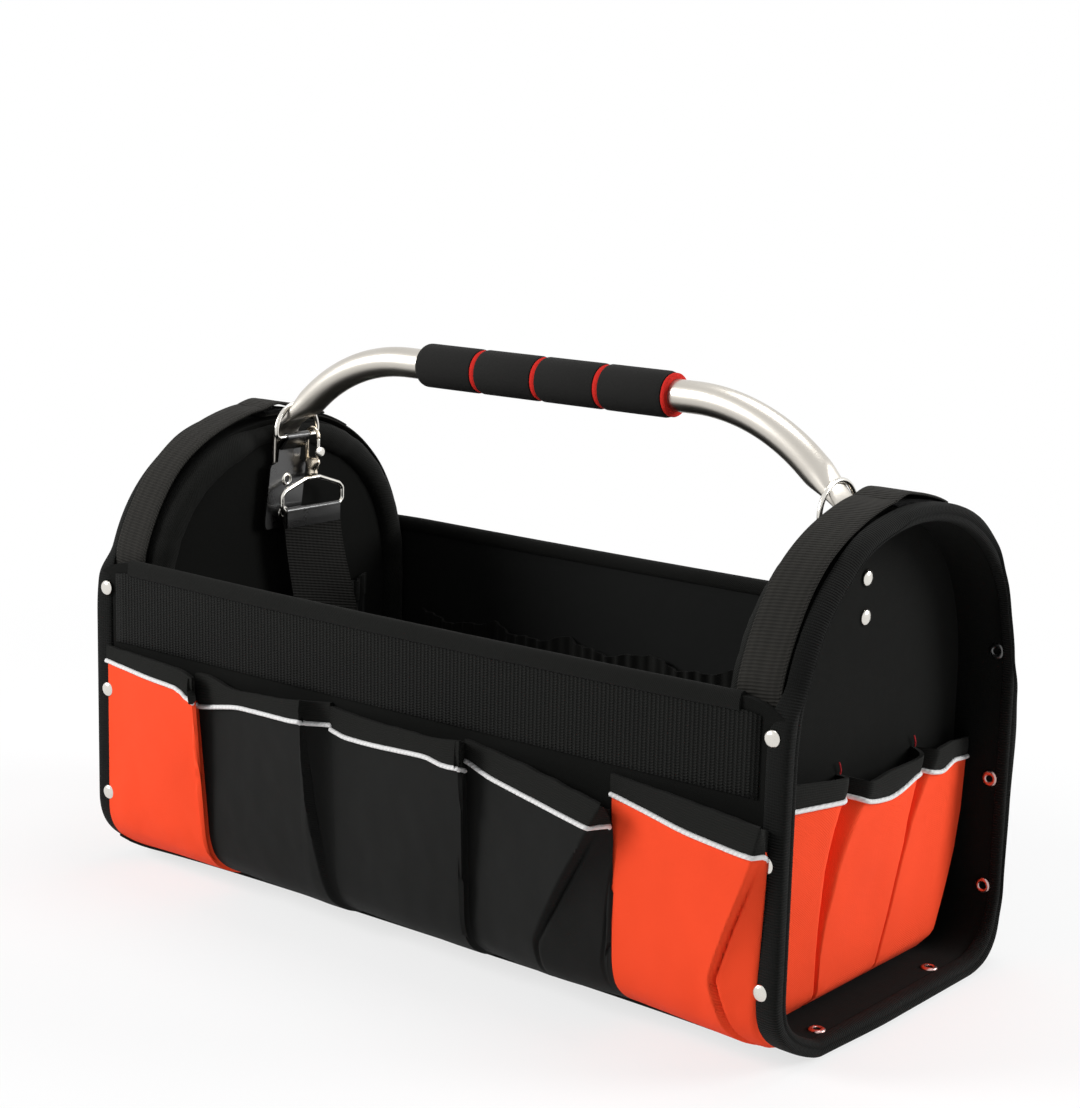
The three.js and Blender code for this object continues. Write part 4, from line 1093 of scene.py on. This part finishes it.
def endPocketPoint(u, t, lift=0.0, level=1.0):  # three compartments, each a third of u, closer steps at the valleys
    k = min(2, int(u * 3))
    s = u * 3 - k
    s -= 0.8 * math.sin(2 * math.pi * s) / (2 * math.pi)
    top = [valleyAt(v, 1)[0] for v in valleys]
    top = (-endPocket["half"], top[0], top[1], endPocket["half"])
    yTop = blendTo(top[k], top[k + 1], s)
    full = softAt(endPocket["hem"], yTop / mm)
    high = blendTo(softAt(endPocket["pipe"], yTop / mm), full, level)
    z = blendTo(endPocket["low"], high, t)
    share = (z - endPocket["low"]) / (full - endPocket["low"])
    edge = straightAt(endPocket["taper"], z) * mm
    places = [valleyAt(v, min(1, share)) for v in valleys]
    line = (-edge, places[0][0], places[1][0], edge)
    y = blendTo(line[k], line[k + 1], s)
    rise = min(1.0, share / 0.06) * (0.5 + 0.5 * min(1.0, share) ** 0.8)
    free = math.sin(math.pi * min(1, share)) * min(1, 6 * s * (1 - s))
    off = softAt(endPocket["stand"], y / mm) * mm * rise + endPocket["crumple"] * wobble(y, 9, z * mm, 26) * free
    for v, (deepest, left, right) in zip(valleys, places):
        away = min(1.0, (deepest - y) / left if y < deepest else (y - deepest) / right)
        deep = straightAt(v["deep"], share) * (off + endPocket["sink"])
        off -= deep * (1 - math.sin(math.pi / 2 * away))
    return Vector((bag["panelOut"] + endPocket["gap"] + max(-endPocket["sink"], off) + lift, y, z * mm))


width = 2 * endPocket["half"]
endPouch = clothStrip("endPocketRight", endPocket["across"], endPocket["along"],
                      lambda u, t: endPocketPoint(u, t, 0, endPocket["underHem"]),
                      endPocket["thickness"], (width, endPocket["height"]))
endHem = clothStrip("endPocketHemRight", endPocket["across"], 8,
                    lambda u, t: endPocketPoint(u, 1, 0.7 * mm + 0.5 * mm * math.sin(math.pi * t), t * 1.05),
                    endPocket["hemThick"], (width, endPocket["hemHigh"]))
pipeLine = [endPocketPoint(i / endPocket["across"], 1, 1.0 * mm, 0) for i in range(endPocket["across"] + 1)]
endPipe = roundTube("endPocketPipingRight", pipeLine, endPocket["pipeRadius"], 10)
dressBoth(endPouch, cloth["pocketOrange"], "orange_cloth", node="end_pocket")
dressBoth(endHem, cloth["hemTape"], "black_cloth")
dressBoth(endPipe, piping, "orange_cloth")
for k in range(len(valleys)):  # a loose end of thread at each seam
    root = endPocketPoint((k + 1) / 3, 1, 0.5 * mm, 0.9)
    tail = [root + Vector(step) * mm for step in ((0, 0, 0), (0.6, 0.4, 3.0), (0.9, -0.8, 6.0), (1.2, -2.6, 8.6))]
    thread = roundTube("threadRight" + str(k + 1), smoothLine(tail, 14), endPocket["thread"], 8)
    dressBoth(thread, cloth["redThread"], "orange_cloth")
for side in ("Right", "Left"):
    bpy.data.objects["endPocket" + side]
    width * endPocket["fullness"]
    "endPocketHem" + side
    "endPocketPiping" + side
print("end pockets made")

# gathered pockets inside
inner = dict(gap=1.0 * mm, depth=7 * mm, thickness=1.0 * mm, elastic=14 * mm, elasticLift=0.7 * mm,
             elasticThick=1.2 * mm, fullness=1.25, ruffle=1.3 * mm, sag=5 * mm, wave=1.0 * mm)
longRow = dict(half=190, low=48, high=135, bays=6, wall=bag["halfWidth"] - 4.4 * mm)
shortRow = dict(half=75, low=48, high=162, bays=3, wall=bag["panelIn"] - 0.8 * mm)
innerRows = (dict(longRow, name="innerPocketsFront", node="front_inner_pockets", way=(0, 1)),
             dict(longRow, name="innerPocketsBack", node="back_inner_pockets", way=(0, -1)),
             dict(shortRow, name="innerPocketsRight", node="right_end_inner_pockets", way=(-1, 0)),
             dict(shortRow, name="innerPocketsLeft", node="left_end_inner_pockets", way=(1, 0)))


def innerPoint(p, u, t, lift=0.0, start=0.0):
    t = start + (1 - start) * t
    along = blendTo(-p["half"], p["half"], u) * mm
    bay = (u * p["bays"]) % 1.0
    ruffle = inner["ruffle"] * math.sin(u * p["bays"] * 2 * math.pi * 7) * ease((t - 0.35) / 0.5)
    off = inner["gap"] + inner["depth"] * (0.35 + 0.65 * t) * math.sin(math.pi * bay) ** 0.7 * min(1, t / 0.08)
    off = max(inner["gap"], off * 0.8 + ruffle * math.sin(math.pi * bay) ** 0.5) + lift
    sag = inner["sag"] * math.sin(math.pi * bay) * t + inner["wave"] * math.sin(u * 90)
    z = blendTo(p["low"] * mm, p["high"] * mm, t) - sag * ease((t - 0.5) / 0.5)
    if p["way"][0] == 0:
        return Vector((p["way"][1] * along, -p["way"][1] * (p["wall"] - off), z))
    return Vector((-p["way"][0] * (p["wall"] - off), p["way"][0] * along, z))


for p in innerRows:
    width = 2 * p["half"] * mm
    height = (p["high"] - p["low"]) * mm
    across = p["bays"] * 56
    pouch = clothStrip(p["name"], across, 18, lambda u, t: innerPoint(p, 1 - u, t), inner["thickness"], (width, height))
    dress(pouch, cloth["lining"], "black_cloth", stands=(p["node"],))
    share = 1 - inner["elastic"] / height
    elastic = clothStrip(p["name"] + "Elastic", across, 4,
                         lambda u, t: innerPoint(p, 1 - u, t, inner["elasticLift"], share),
                         inner["elasticThick"], (width, inner["elastic"]))
    dress(elastic, cloth["rimTape"], "black_cloth")
    width * inner["fullness"]
print("inner pockets made")

# pouch on the back and its hinged flap
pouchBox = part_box("back_pouch")
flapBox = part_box("back_flap")
backPouch = dict(flat=(0.26, 0.19), faceHigh=170 * mm, thickness=1.5 * mm, under=6 * mm, across=60, along=36)
flap = dict(flat=(0.264, 0.115), thickness=2.2 * mm, belly=3.5 * mm, edge=8 * mm, tape=2.6 * mm, pipe=1.3 * mm,
            cornerLift=14 * mm, face=118.6 * mm, sideShare=0.28, edgeTop=0.87, edgeSteps=140, edgeLength=0.47,
            front=154.3, bends=((154.3, 146), (152, 156.5), (143, 162), (119.4, 173.6)))


def pouchPoint(u, v):  # v runs from the wall, round the face, back to the wall
    centreX = (pouchBox[0].x + pouchBox[1].x) / 2
    halfX = (pouchBox[1].x - pouchBox[0].x) / 2
    centreZ = (pouchBox[0].z + pouchBox[1].z) / 2
    halfZ = (pouchBox[1].z - pouchBox[0].z) / 2
    deep = pouchBox[1].y - pouchBox[0].y - backPouch["under"]
    turn = math.pi * v
    along = math.copysign(abs(math.cos(turn)) ** 0.28, math.cos(turn))
    out = math.sin(turn) ** 0.45
    side = 2 * u - 1
    taper = (1 - abs(side) ** 7) ** 0.5
    sag = 0.9 + 0.1 * math.sin(turn)
    x = centreX - side * halfX
    y = pouchBox[0].y + deep * out * (0.25 + 0.75 * taper) + 1.2 * mm * wobble(x, 2, along, 12)
    return Vector((x, max(pouchBox[0].y, y), centreZ - along * halfZ * sag))


across, along = backPouch["across"], backPouch["along"]
rows = [[pouchPoint(i / across, j / along) for i in range(across + 1)] for j in range(along + 1)]
rows = [[Vector((p.x, pouchBox[0].y, p.z)) for p in rows[0]]] + rows
pouch = gridFrom("backPouch", rows, (pouchBox[1].x - pouchBox[0].x, backPouch["faceHigh"]))
thicken(pouch, backPouch["thickness"])
smoothByAngle(pouch, 60)
dress(pouch, cloth["pocketBlack"], "black_cloth", stands=("back_pouch",))


def flapPoint(u, v, lift=0.0):  # u along, from +x to -x; v from the free edge up to the hinge
    wide = blendTo(flapBox[1].x, flapBox[0].x, u)
    side = abs(2 * u - 1)
    cornerLift = flap["cornerLift"] * max(0.0, (side - 0.9) / 0.1) ** 2 * (1 - v)
    line = [Vector((flap["front"] * mm, flapBox[0].z + cornerLift))]
    line += [Vector((y * mm, z * mm)) for y, z in flap["bends"]]
    total = lineLength(line)
    spot, k = v * total, 0
    while k < 3 and spot > (line[k + 1] - line[k]).length:
        spot -= (line[k + 1] - line[k]).length
        k += 1
    way = (line[k + 1] - line[k]).normalized()
    place = line[k] + way * spot
    out = Vector((way.y, -way.x))
    belly = flap["belly"] * math.sin(math.pi * min(1, v * 1.3 + 0.05)) * (1 - side ** 4)
    belly += 1.0 * mm * wobble(wide, 4, v * 0.1, 22) * (1 - v)
    belly += lift * (1 - 0.8 * ease((v - 0.5) / 0.3))
    place = place + out * belly
    return Vector((wide, max(flap["face"], place.x), place.y))


flapCloth = clothStrip("backFlap", 60, 34, flapPoint, flap["thickness"], flap["flat"])
dress(flapCloth, cloth["pocketBlack"], "black_cloth", "back_flap", ("back_flap",))


def flapEdge(share, inset, lift):  # round the free edges, from the right hinge corner to the left one
    u, v = inset / flap["flat"][0], inset / flap["flat"][1]
    turn = flap["sideShare"]
    if share < turn:
        return flapPoint(u, blendTo(flap["edgeTop"], v, share / turn), lift)
    if share > 1 - turn:
        return flapPoint(1 - u, blendTo(v, flap["edgeTop"], (share - 1 + turn) / turn), lift)
    return flapPoint(blendTo(u, 1 - u, (share - turn) / (1 - 2 * turn)), v, lift)


edgeShares = [i / flap["edgeSteps"] for i in range(flap["edgeSteps"] + 1)]
edgeRows = [[flapEdge(share, k * flap["edge"] / 3 + 0.2 * mm, 1.1 * mm) for k in range(4)] for share in edgeShares]
edgeTape = gridFrom("flapEdgeTape", edgeRows, (flap["edge"], flap["edgeLength"]))
thicken(edgeTape, flap["tape"], offset=0)
weld(edgeTape)
smoothByAngle(edgeTape, 60)
dress(edgeTape, cloth["hemTape"], "black_cloth", "back_flap")
pipeLine = [flapEdge(share, flap["edge"] + 1.2 * mm, 1.0 * mm) for share in edgeShares]
flapPipe = roundTube("flapPiping", pipeLine, flap["pipe"], 10)
dress(flapPipe, piping, "orange_cloth", "back_flap")
print("back made")

# handle: bent tube with flattened ends, foam grip with inset red bands
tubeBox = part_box("handle_tube")
tube = dict(radius=9 * mm, bend=117 * mm, slope=40, straight=105 * mm, neckX=203.7 * mm, lugLow=203 * mm,
            lugBend=14 * mm, lugHalf=10.5 * mm, neckHalf=10 * mm, lugThick=2 * mm, flatStart=25 * mm, sides=40)
tubeZ = tubeBox[1].z - tube["radius"]
slopeTurn = math.radians(tube["slope"])
slopeWay = Vector((math.cos(slopeTurn), -math.sin(slopeTurn)))
halfRoute = [Vector((x * mm, tubeZ)) for x in range(0, 105, 5)]
halfRoute += arc((tube["straight"], tubeZ - tube["bend"]), tube["bend"], 90, 90 - tube["slope"], 24)
neckSpan = (tube["neckX"] - halfRoute[-1].x) / slopeWay.x
neckStart = len(halfRoute)
for i in range(1, 13):
    halfRoute.append(halfRoute[neckStart - 1] + slopeWay * (neckSpan * i / 12))
turnCentre = halfRoute[-1] + Vector((-slopeWay.y, slopeWay.x)) * -tube["lugBend"]
halfRoute += arc(turnCentre, tube["lugBend"], 90 - tube["slope"], 0, 10)[1:]
lugTop = halfRoute[-1]
for i in range(1, 13):
    halfRoute.append(lugTop.lerp(Vector((lugTop.x, tube["lugLow"])), i / 12))
tubeMarks = [0.0]
for a, b in zip(halfRoute, halfRoute[1:]):
    tubeMarks.append(tubeMarks[-1] + (b - a).length)
neckMark = tubeMarks[neckStart + 11]
halfNormals = normalsOf(halfRoute)
halfSections = []
for point, normal, mark in zip(halfRoute, halfNormals, tubeMarks):
    share = ease((mark - neckMark + tube["flatStart"]) / tube["flatStart"]) ** 0.8
    broad = blendTo(tube["radius"], tube["neckHalf"], share)
    past = ease((mark - neckMark - 6 * mm) / (14 * mm))
    broad = blendTo(broad, tube["lugHalf"], past)
    left = tubeMarks[-1] - mark
    if left < tube["lugHalf"]:
        broad *= math.sqrt(max(0.04, 1 - (1 - left / tube["lugHalf"]) ** 2))
    thin = blendTo(tube["radius"], tube["lugThick"], share)
    corner = blendTo(1.0, 0.45, share)
    section = []
    for k in range(tube["sides"]):
        turn = 2 * math.pi * k / tube["sides"]
        c, s = math.cos(turn), math.sin(turn)
        across = math.copysign(abs(c) ** corner, c) * broad
        off = math.copysign(abs(s) ** corner, s) * thin
        section.append(Vector((point.x + normal.x * off, across, point.y + normal.y * off)))
    halfSections.append(section)
leftSections = [[Vector((-p.x, p.y, p.z)) for p in section] for section in reversed(halfSections[1:])]
handle = sweep("handleTube", leftSections + halfSections, (57 * mm, 2 * tubeMarks[-1]))
smoothByAngle(handle, 50)
dress(handle, steel, "steel", stands=("handle_tube",))
grip = dict(half=90 * mm, outer=13 * mm, inner=9.1 * mm, groove=1.2 * mm, band=3.6 * mm, places=(-45, 0, 45),
            rounding=4 * mm, endBand=91.2, endHalf=1.4 * mm, endSink=0.8 * mm, bandSink=0.55 * mm, sides=48)
outer = grip["outer"]
profile = [(grip["inner"], -grip["half"])]
for i in range(7):
    turn = math.pi / 2 * i / 6
    profile.append((outer - grip["rounding"] * (1 - math.sin(turn)),
                    -grip["half"] + grip["rounding"] * (1 - math.cos(turn))))
for place in grip["places"]:
    x = place * mm
    half = grip["band"] / 2
    profile += [(outer, x - half - 1.2 * mm), (outer - 0.3 * mm, x - half - 0.2 * mm),
                (outer - grip["groove"], x - half), (outer - grip["groove"], x + half),
                (outer - 0.3 * mm, x + half + 0.2 * mm), (outer, x + half + 1.2 * mm)]
profile += [(outer, grip["half"] - 3 * mm), (outer - 0.6 * mm, grip["half"] - 0.6 * mm),
            (outer - 2 * mm, grip["half"]), (grip["inner"], grip["half"]), (grip["inner"], -grip["half"])]
gripFoam = turned("handleGrip", profile, (0, 0, tubeZ), (1, 0, 0), grip["sides"])
smoothByAngle(gripFoam, 40)
dress(gripFoam, foam, "foam", stands=("handle_grip",))
for number, place in enumerate(grip["places"] + (grip["endBand"],), 1):
    last = place == grip["endBand"]
    half = grip["endHalf"] if last else grip["band"] / 2
    reach = outer - (grip["endSink"] if last else grip["bandSink"])
    bandRows = [(grip["inner"], -half), (reach - 0.4 * mm, -half), (reach, -half * 0.5), (reach, half * 0.5),
                (reach - 0.4 * mm, half), (grip["inner"], half), (grip["inner"], -half)]
    redRing = turned("gripBand" + str(number), bandRows, (place * mm, 0, tubeZ), (1, 0, 0), grip["sides"])
    smoothByAngle(redRing, 40)
    dress(redRing, redFoam, "foam")
print("handle made")

# tabs, D-rings, snap hooks and strap eyes
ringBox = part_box("right_d_ring")
ring = dict(wire=1.5 * mm, half=18 * mm, bend=3 * mm, x=198.2 * mm, low=ringBox[0].z + 1.5 * mm,
            high=ringBox[1].z - 1.5 * mm)
tab = dict(x=205.6 * mm, thick=1.6 * mm, half=15.5 * mm, neck=9.6 * mm, low=203 * mm, shoulder=247 * mm, fold=2.6 * mm,
           rounding=8 * mm, steps=48)
barEnd, foot = ring["half"] - ring["bend"], ring["low"] + ring["bend"]
ringLine = [(-barEnd, ring["low"]), (0, ring["low"]), (barEnd, ring["low"])]
ringLine += arc((barEnd, foot), ring["bend"], -90, 0, 4)
for i in range(1, 24):
    turn = math.pi * i / 24
    ringLine.append((ring["half"] * math.cos(turn), foot + (ring["high"] - foot) * math.sin(turn)))
ringLine += arc((-barEnd, foot), ring["bend"], 180, 270, 4)
ringLine = evenPoints([(ring["x"], y, z) for y, z in ringLine], 90, closed=True)
dRing = roundTube("dRingRight", ringLine, ring["wire"], 14, closed=True)
tabLine = [Vector((tab["x"], tab["low"])), Vector((tab["x"], ring["low"] - 9 * mm)),
           Vector((tab["x"] - 0.6 * mm, ring["low"] - 4 * mm)),
           Vector((ring["x"] + tab["fold"], ring["low"] - 0.6 * mm))]
tabLine += arc((ring["x"], ring["low"]), tab["fold"], 0, 200, 8)[1:]
tabLine += [Vector((ring["x"] - 0.2 * mm, ring["low"] - 4.6 * mm)),
            Vector((tab["x"] - 2.6 * mm, ring["low"] - 9 * mm))]
tabLine = evenPoints(tabLine, tab["steps"])


def tabPoint(u, t):  # up the tab, over the ring's bar and down behind it
    point = tabLine[round(t * tab["steps"])]
    half = blendTo(tab["neck"], tab["half"], ease((tab["shoulder"] + 4 * mm - point.y) / (10 * mm)))
    if t > 0.5:
        half = tab["neck"]
    up = (point.y - tab["low"]) / tab["rounding"]
    if up < 1:
        half *= 0.86 + 0.14 * math.sqrt(max(0, 1 - (1 - up) ** 2))
    return Vector((point.x, half * (2 * u - 1), point.y))


tabSheet = clothStrip("tabRight", 14, tab["steps"], tabPoint, tab["thick"], (31 * mm, 70 * mm))
hook = dict(x=197.4 * mm, y=13.4 * mm, bow=5 * mm, wire=1.25 * mm, bowZ=260.2 * mm, leg=246.2 * mm, base=235.2 * mm,
            gateLow=247.3 * mm, gateHigh=258.4 * mm, gateWire=1.1 * mm, plateOut=1.4 * mm, plateZ=250.4 * mm,
            plate=((0, 0.7), (3.4, 0.7), (4.0, 0.4), (4.0, -0.4), (3.4, -0.7), (0, -0.7)),
            foot=((0, 0), (2.6, 0), (3.3, 0.5), (3.5, 1.6), (3.0, 3.0), (3.4, 4.2), (3.5, 8), (3.2, 10), (2.4, 11),
                  (0, 11)))
bowLine = [(hook["x"] + hook["bow"], hook["leg"] - 1 * mm), (hook["x"] + hook["bow"], hook["bowZ"])]
bowLine += arc((hook["x"], hook["bowZ"]), hook["bow"], 0, 180, 12)[1:]
bowLine.append((hook["x"] - hook["bow"], hook["bowZ"] - 0.8 * mm))
hookBow = roundTube("hookRight", [(x, hook["y"], z) for x, z in bowLine], hook["wire"], 12)
hookBase = turned("hookBase", [(r * mm, a * mm) for r, a in hook["foot"]], (0, 0, 0), (0, 0, 1), 32)
for vertex in hookBase.data.vertices:
    broad = 1 + 0.75 * ease((vertex.co.z / mm - 4) / 5)
    vertex.co = Vector((hook["x"] + vertex.co.x * broad, hook["y"] + vertex.co.y, hook["base"] + vertex.co.z))
smoothByAngle(hookBase, 50)
joinTo(hookBow, hookBase)
gateX = hook["x"] - hook["bow"]
gateLine = evenPoints([(gateX, hook["y"], hook["gateLow"]), (gateX, hook["y"], hook["gateHigh"])], 16)
gate = roundTube("hookGateRight", gateLine, hook["gateWire"], 12)
plate = turned("thumbPlate", [(r * mm, a * mm) for r, a in hook["plate"]], (0, 0, 0), (1, 0, 0), 28)
for vertex in plate.data.vertices:
    vertex.co = Vector((gateX - hook["plateOut"] + vertex.co.x, hook["y"] + vertex.co.y,
                        hook["plateZ"] + vertex.co.z * 0.8))
smoothByAngle(plate, 40)
joinTo(gate, plate)
eye = dict(wire=1.5 * mm, top=233.4 * mm, shoulder=226.4 * mm, low=214.4 * mm, half=27 * mm, neck=6 * mm)
corners = [(-eye["neck"], eye["top"]), (-eye["half"] + 3 * mm, eye["shoulder"] + 1 * mm),
           (-eye["half"], eye["shoulder"] - 2 * mm), (-eye["half"], eye["low"] + 2.5 * mm),
           (-eye["half"] + 2.5 * mm, eye["low"])]
eyeLine = [Vector((hook["x"], hook["y"] + y, z)) for y, z in corners]
eyeLine += [Vector((hook["x"], hook["y"] - y, z)) for y, z in reversed(corners)]
strapEye = roundTube("strapEyeRight", evenPoints(eyeLine, 120, closed=True), eye["wire"], 14, closed=True)
sleeve = dict(radius=2 * mm, pinch=1.9 * mm, low=203.5 * mm, waist=208 * mm, half=23.8 * mm, thick=1.2 * mm, steps=44)
sleeveLine = [(hook["x"] + sleeve["pinch"], sleeve["low"]), (hook["x"] + sleeve["radius"], sleeve["waist"])]
sleeveLine += arc((hook["x"], eye["low"]), sleeve["radius"], -12, 192, 28)
sleeveLine += [(hook["x"] - sleeve["radius"], sleeve["waist"]), (hook["x"] - sleeve["pinch"], sleeve["low"])]
sleeveLine = evenPoints(sleeveLine, sleeve["steps"])


def sleevePoint(u, t):  # the strap's end folded over the bar of the eye
    point = sleeveLine[round(t * sleeve["steps"])]
    return Vector((point.x, hook["y"] + sleeve["half"] * (2 * u - 1), point.y))


strapSleeve = clothStrip("strapSleeveRight", 12, sleeve["steps"], sleevePoint, sleeve["thick"], (47 * mm, 30 * mm))
for obj, material, slotName, body, node in (
        (tabSheet, leather, "leather", "", "tab"), (dRing, nickel, "steel", "d_ring", "d_ring"),
        (hookBow, brassy, "steel", "hook", "hook"), (gate, nickel, "steel", "hook_gate", "hook_gate"),
        (strapEye, nickel, "steel", "strap_eye", "strap_eye"), (strapSleeve, leather, "leather", "strap_eye", "")):
    twin = dressBoth(obj, material, slotName, body, node)
    if obj is tabSheet:
        for vertex in twin.data.vertices:
            vertex.co.y += tabTilt(vertex.co.z)
print("hardware made")

# floor, backdrop and light
studio = dict(floor=9.0, key=54, fill=39, top=17, world=0.2, fadeFrom=0.42, fadeTo=0.95, seenGlow=0.72)
deselectAll()
bpy.ops.mesh.primitive_plane_add(size=studio["floor"], location=(0, 0, -0.0003))
floor = bpy.context.object
floor.name = "studioFloor"
floorMaterial, start = openMaterial("paleFloor")
speckle = placeNoise(start, 3.0)
tone = start.mix(speckle * 0.3, rgb(0.93, 0.93, 0.93), rgb(0.9, 0.9, 0.9))
matte = start.node("ShaderNodeBsdfPrincipled", Base_Color=tone, Roughness=0.9, Specular_IOR_Level=0.1)
glow = start.node("ShaderNodeEmission", Color=rgb(1, 1, 1), Strength=1.0)
spot = start.node("ShaderNodeTexCoord", output=3)
reach = start.node("ShaderNodeVectorMath", {"operation": "LENGTH"}, output=1, i0=spot)
faded = start.node("ShaderNodeMapRange", Value=reach, From_Min=studio["fadeFrom"], From_Max=studio["fadeTo"],
                   To_Min=studio["seenGlow"])
straight = shownRays(start)
closeMaterial(start, start.node("ShaderNodeMixShader", i0=faded * straight, i1=matte, i2=glow))
floor.data.materials.append(floorMaterial)
world = bpy.data.worlds.new("studioWorld")
bpy.context.scene.world = world
world.use_nodes = True
world.node_tree.nodes.clear()
start = Shade(world.node_tree)
seen = shownRays(start)
soft = start.node("ShaderNodeBackground", Color=rgb(0.95, 0.97, 1.0), Strength=studio["world"])
white = start.node("ShaderNodeBackground", Color=rgb(1, 1, 1), Strength=1.0)
mixed = start.node("ShaderNodeMixShader", i0=seen, i1=soft, i2=white)
out = world.node_tree.nodes.new("ShaderNodeOutputWorld")
world.node_tree.links.new(mixed.socket, out.inputs["Surface"])


def areaLight(name, place, target, power, size):
    data = bpy.data.lights.new(name, "AREA")
    data.energy = power
    data.shape = "DISK"
    data.size = size
    lamp = bpy.data.objects.new(name, data)
    bpy.context.scene.collection.objects.link(lamp)
    lamp.location = place
    lamp.rotation_euler = (Vector(target) - Vector(place)).to_track_quat("-Z", "Y").to_euler()


areaLight("keyLight", (-1.5, -1.7, 1.25), (0, 0, 0.12), studio["key"], 1.2)
areaLight("fillLight", (1.7, 1.3, 0.95), (0.1, 0, 0.12), studio["fill"], 1.1)
areaLight("topLight", (0.1, 0.5, 2.2), (0, 0, 0.1), studio["top"], 1.2)
bpy.context.scene.view_settings.view_transform = "Standard"
print("stage made")
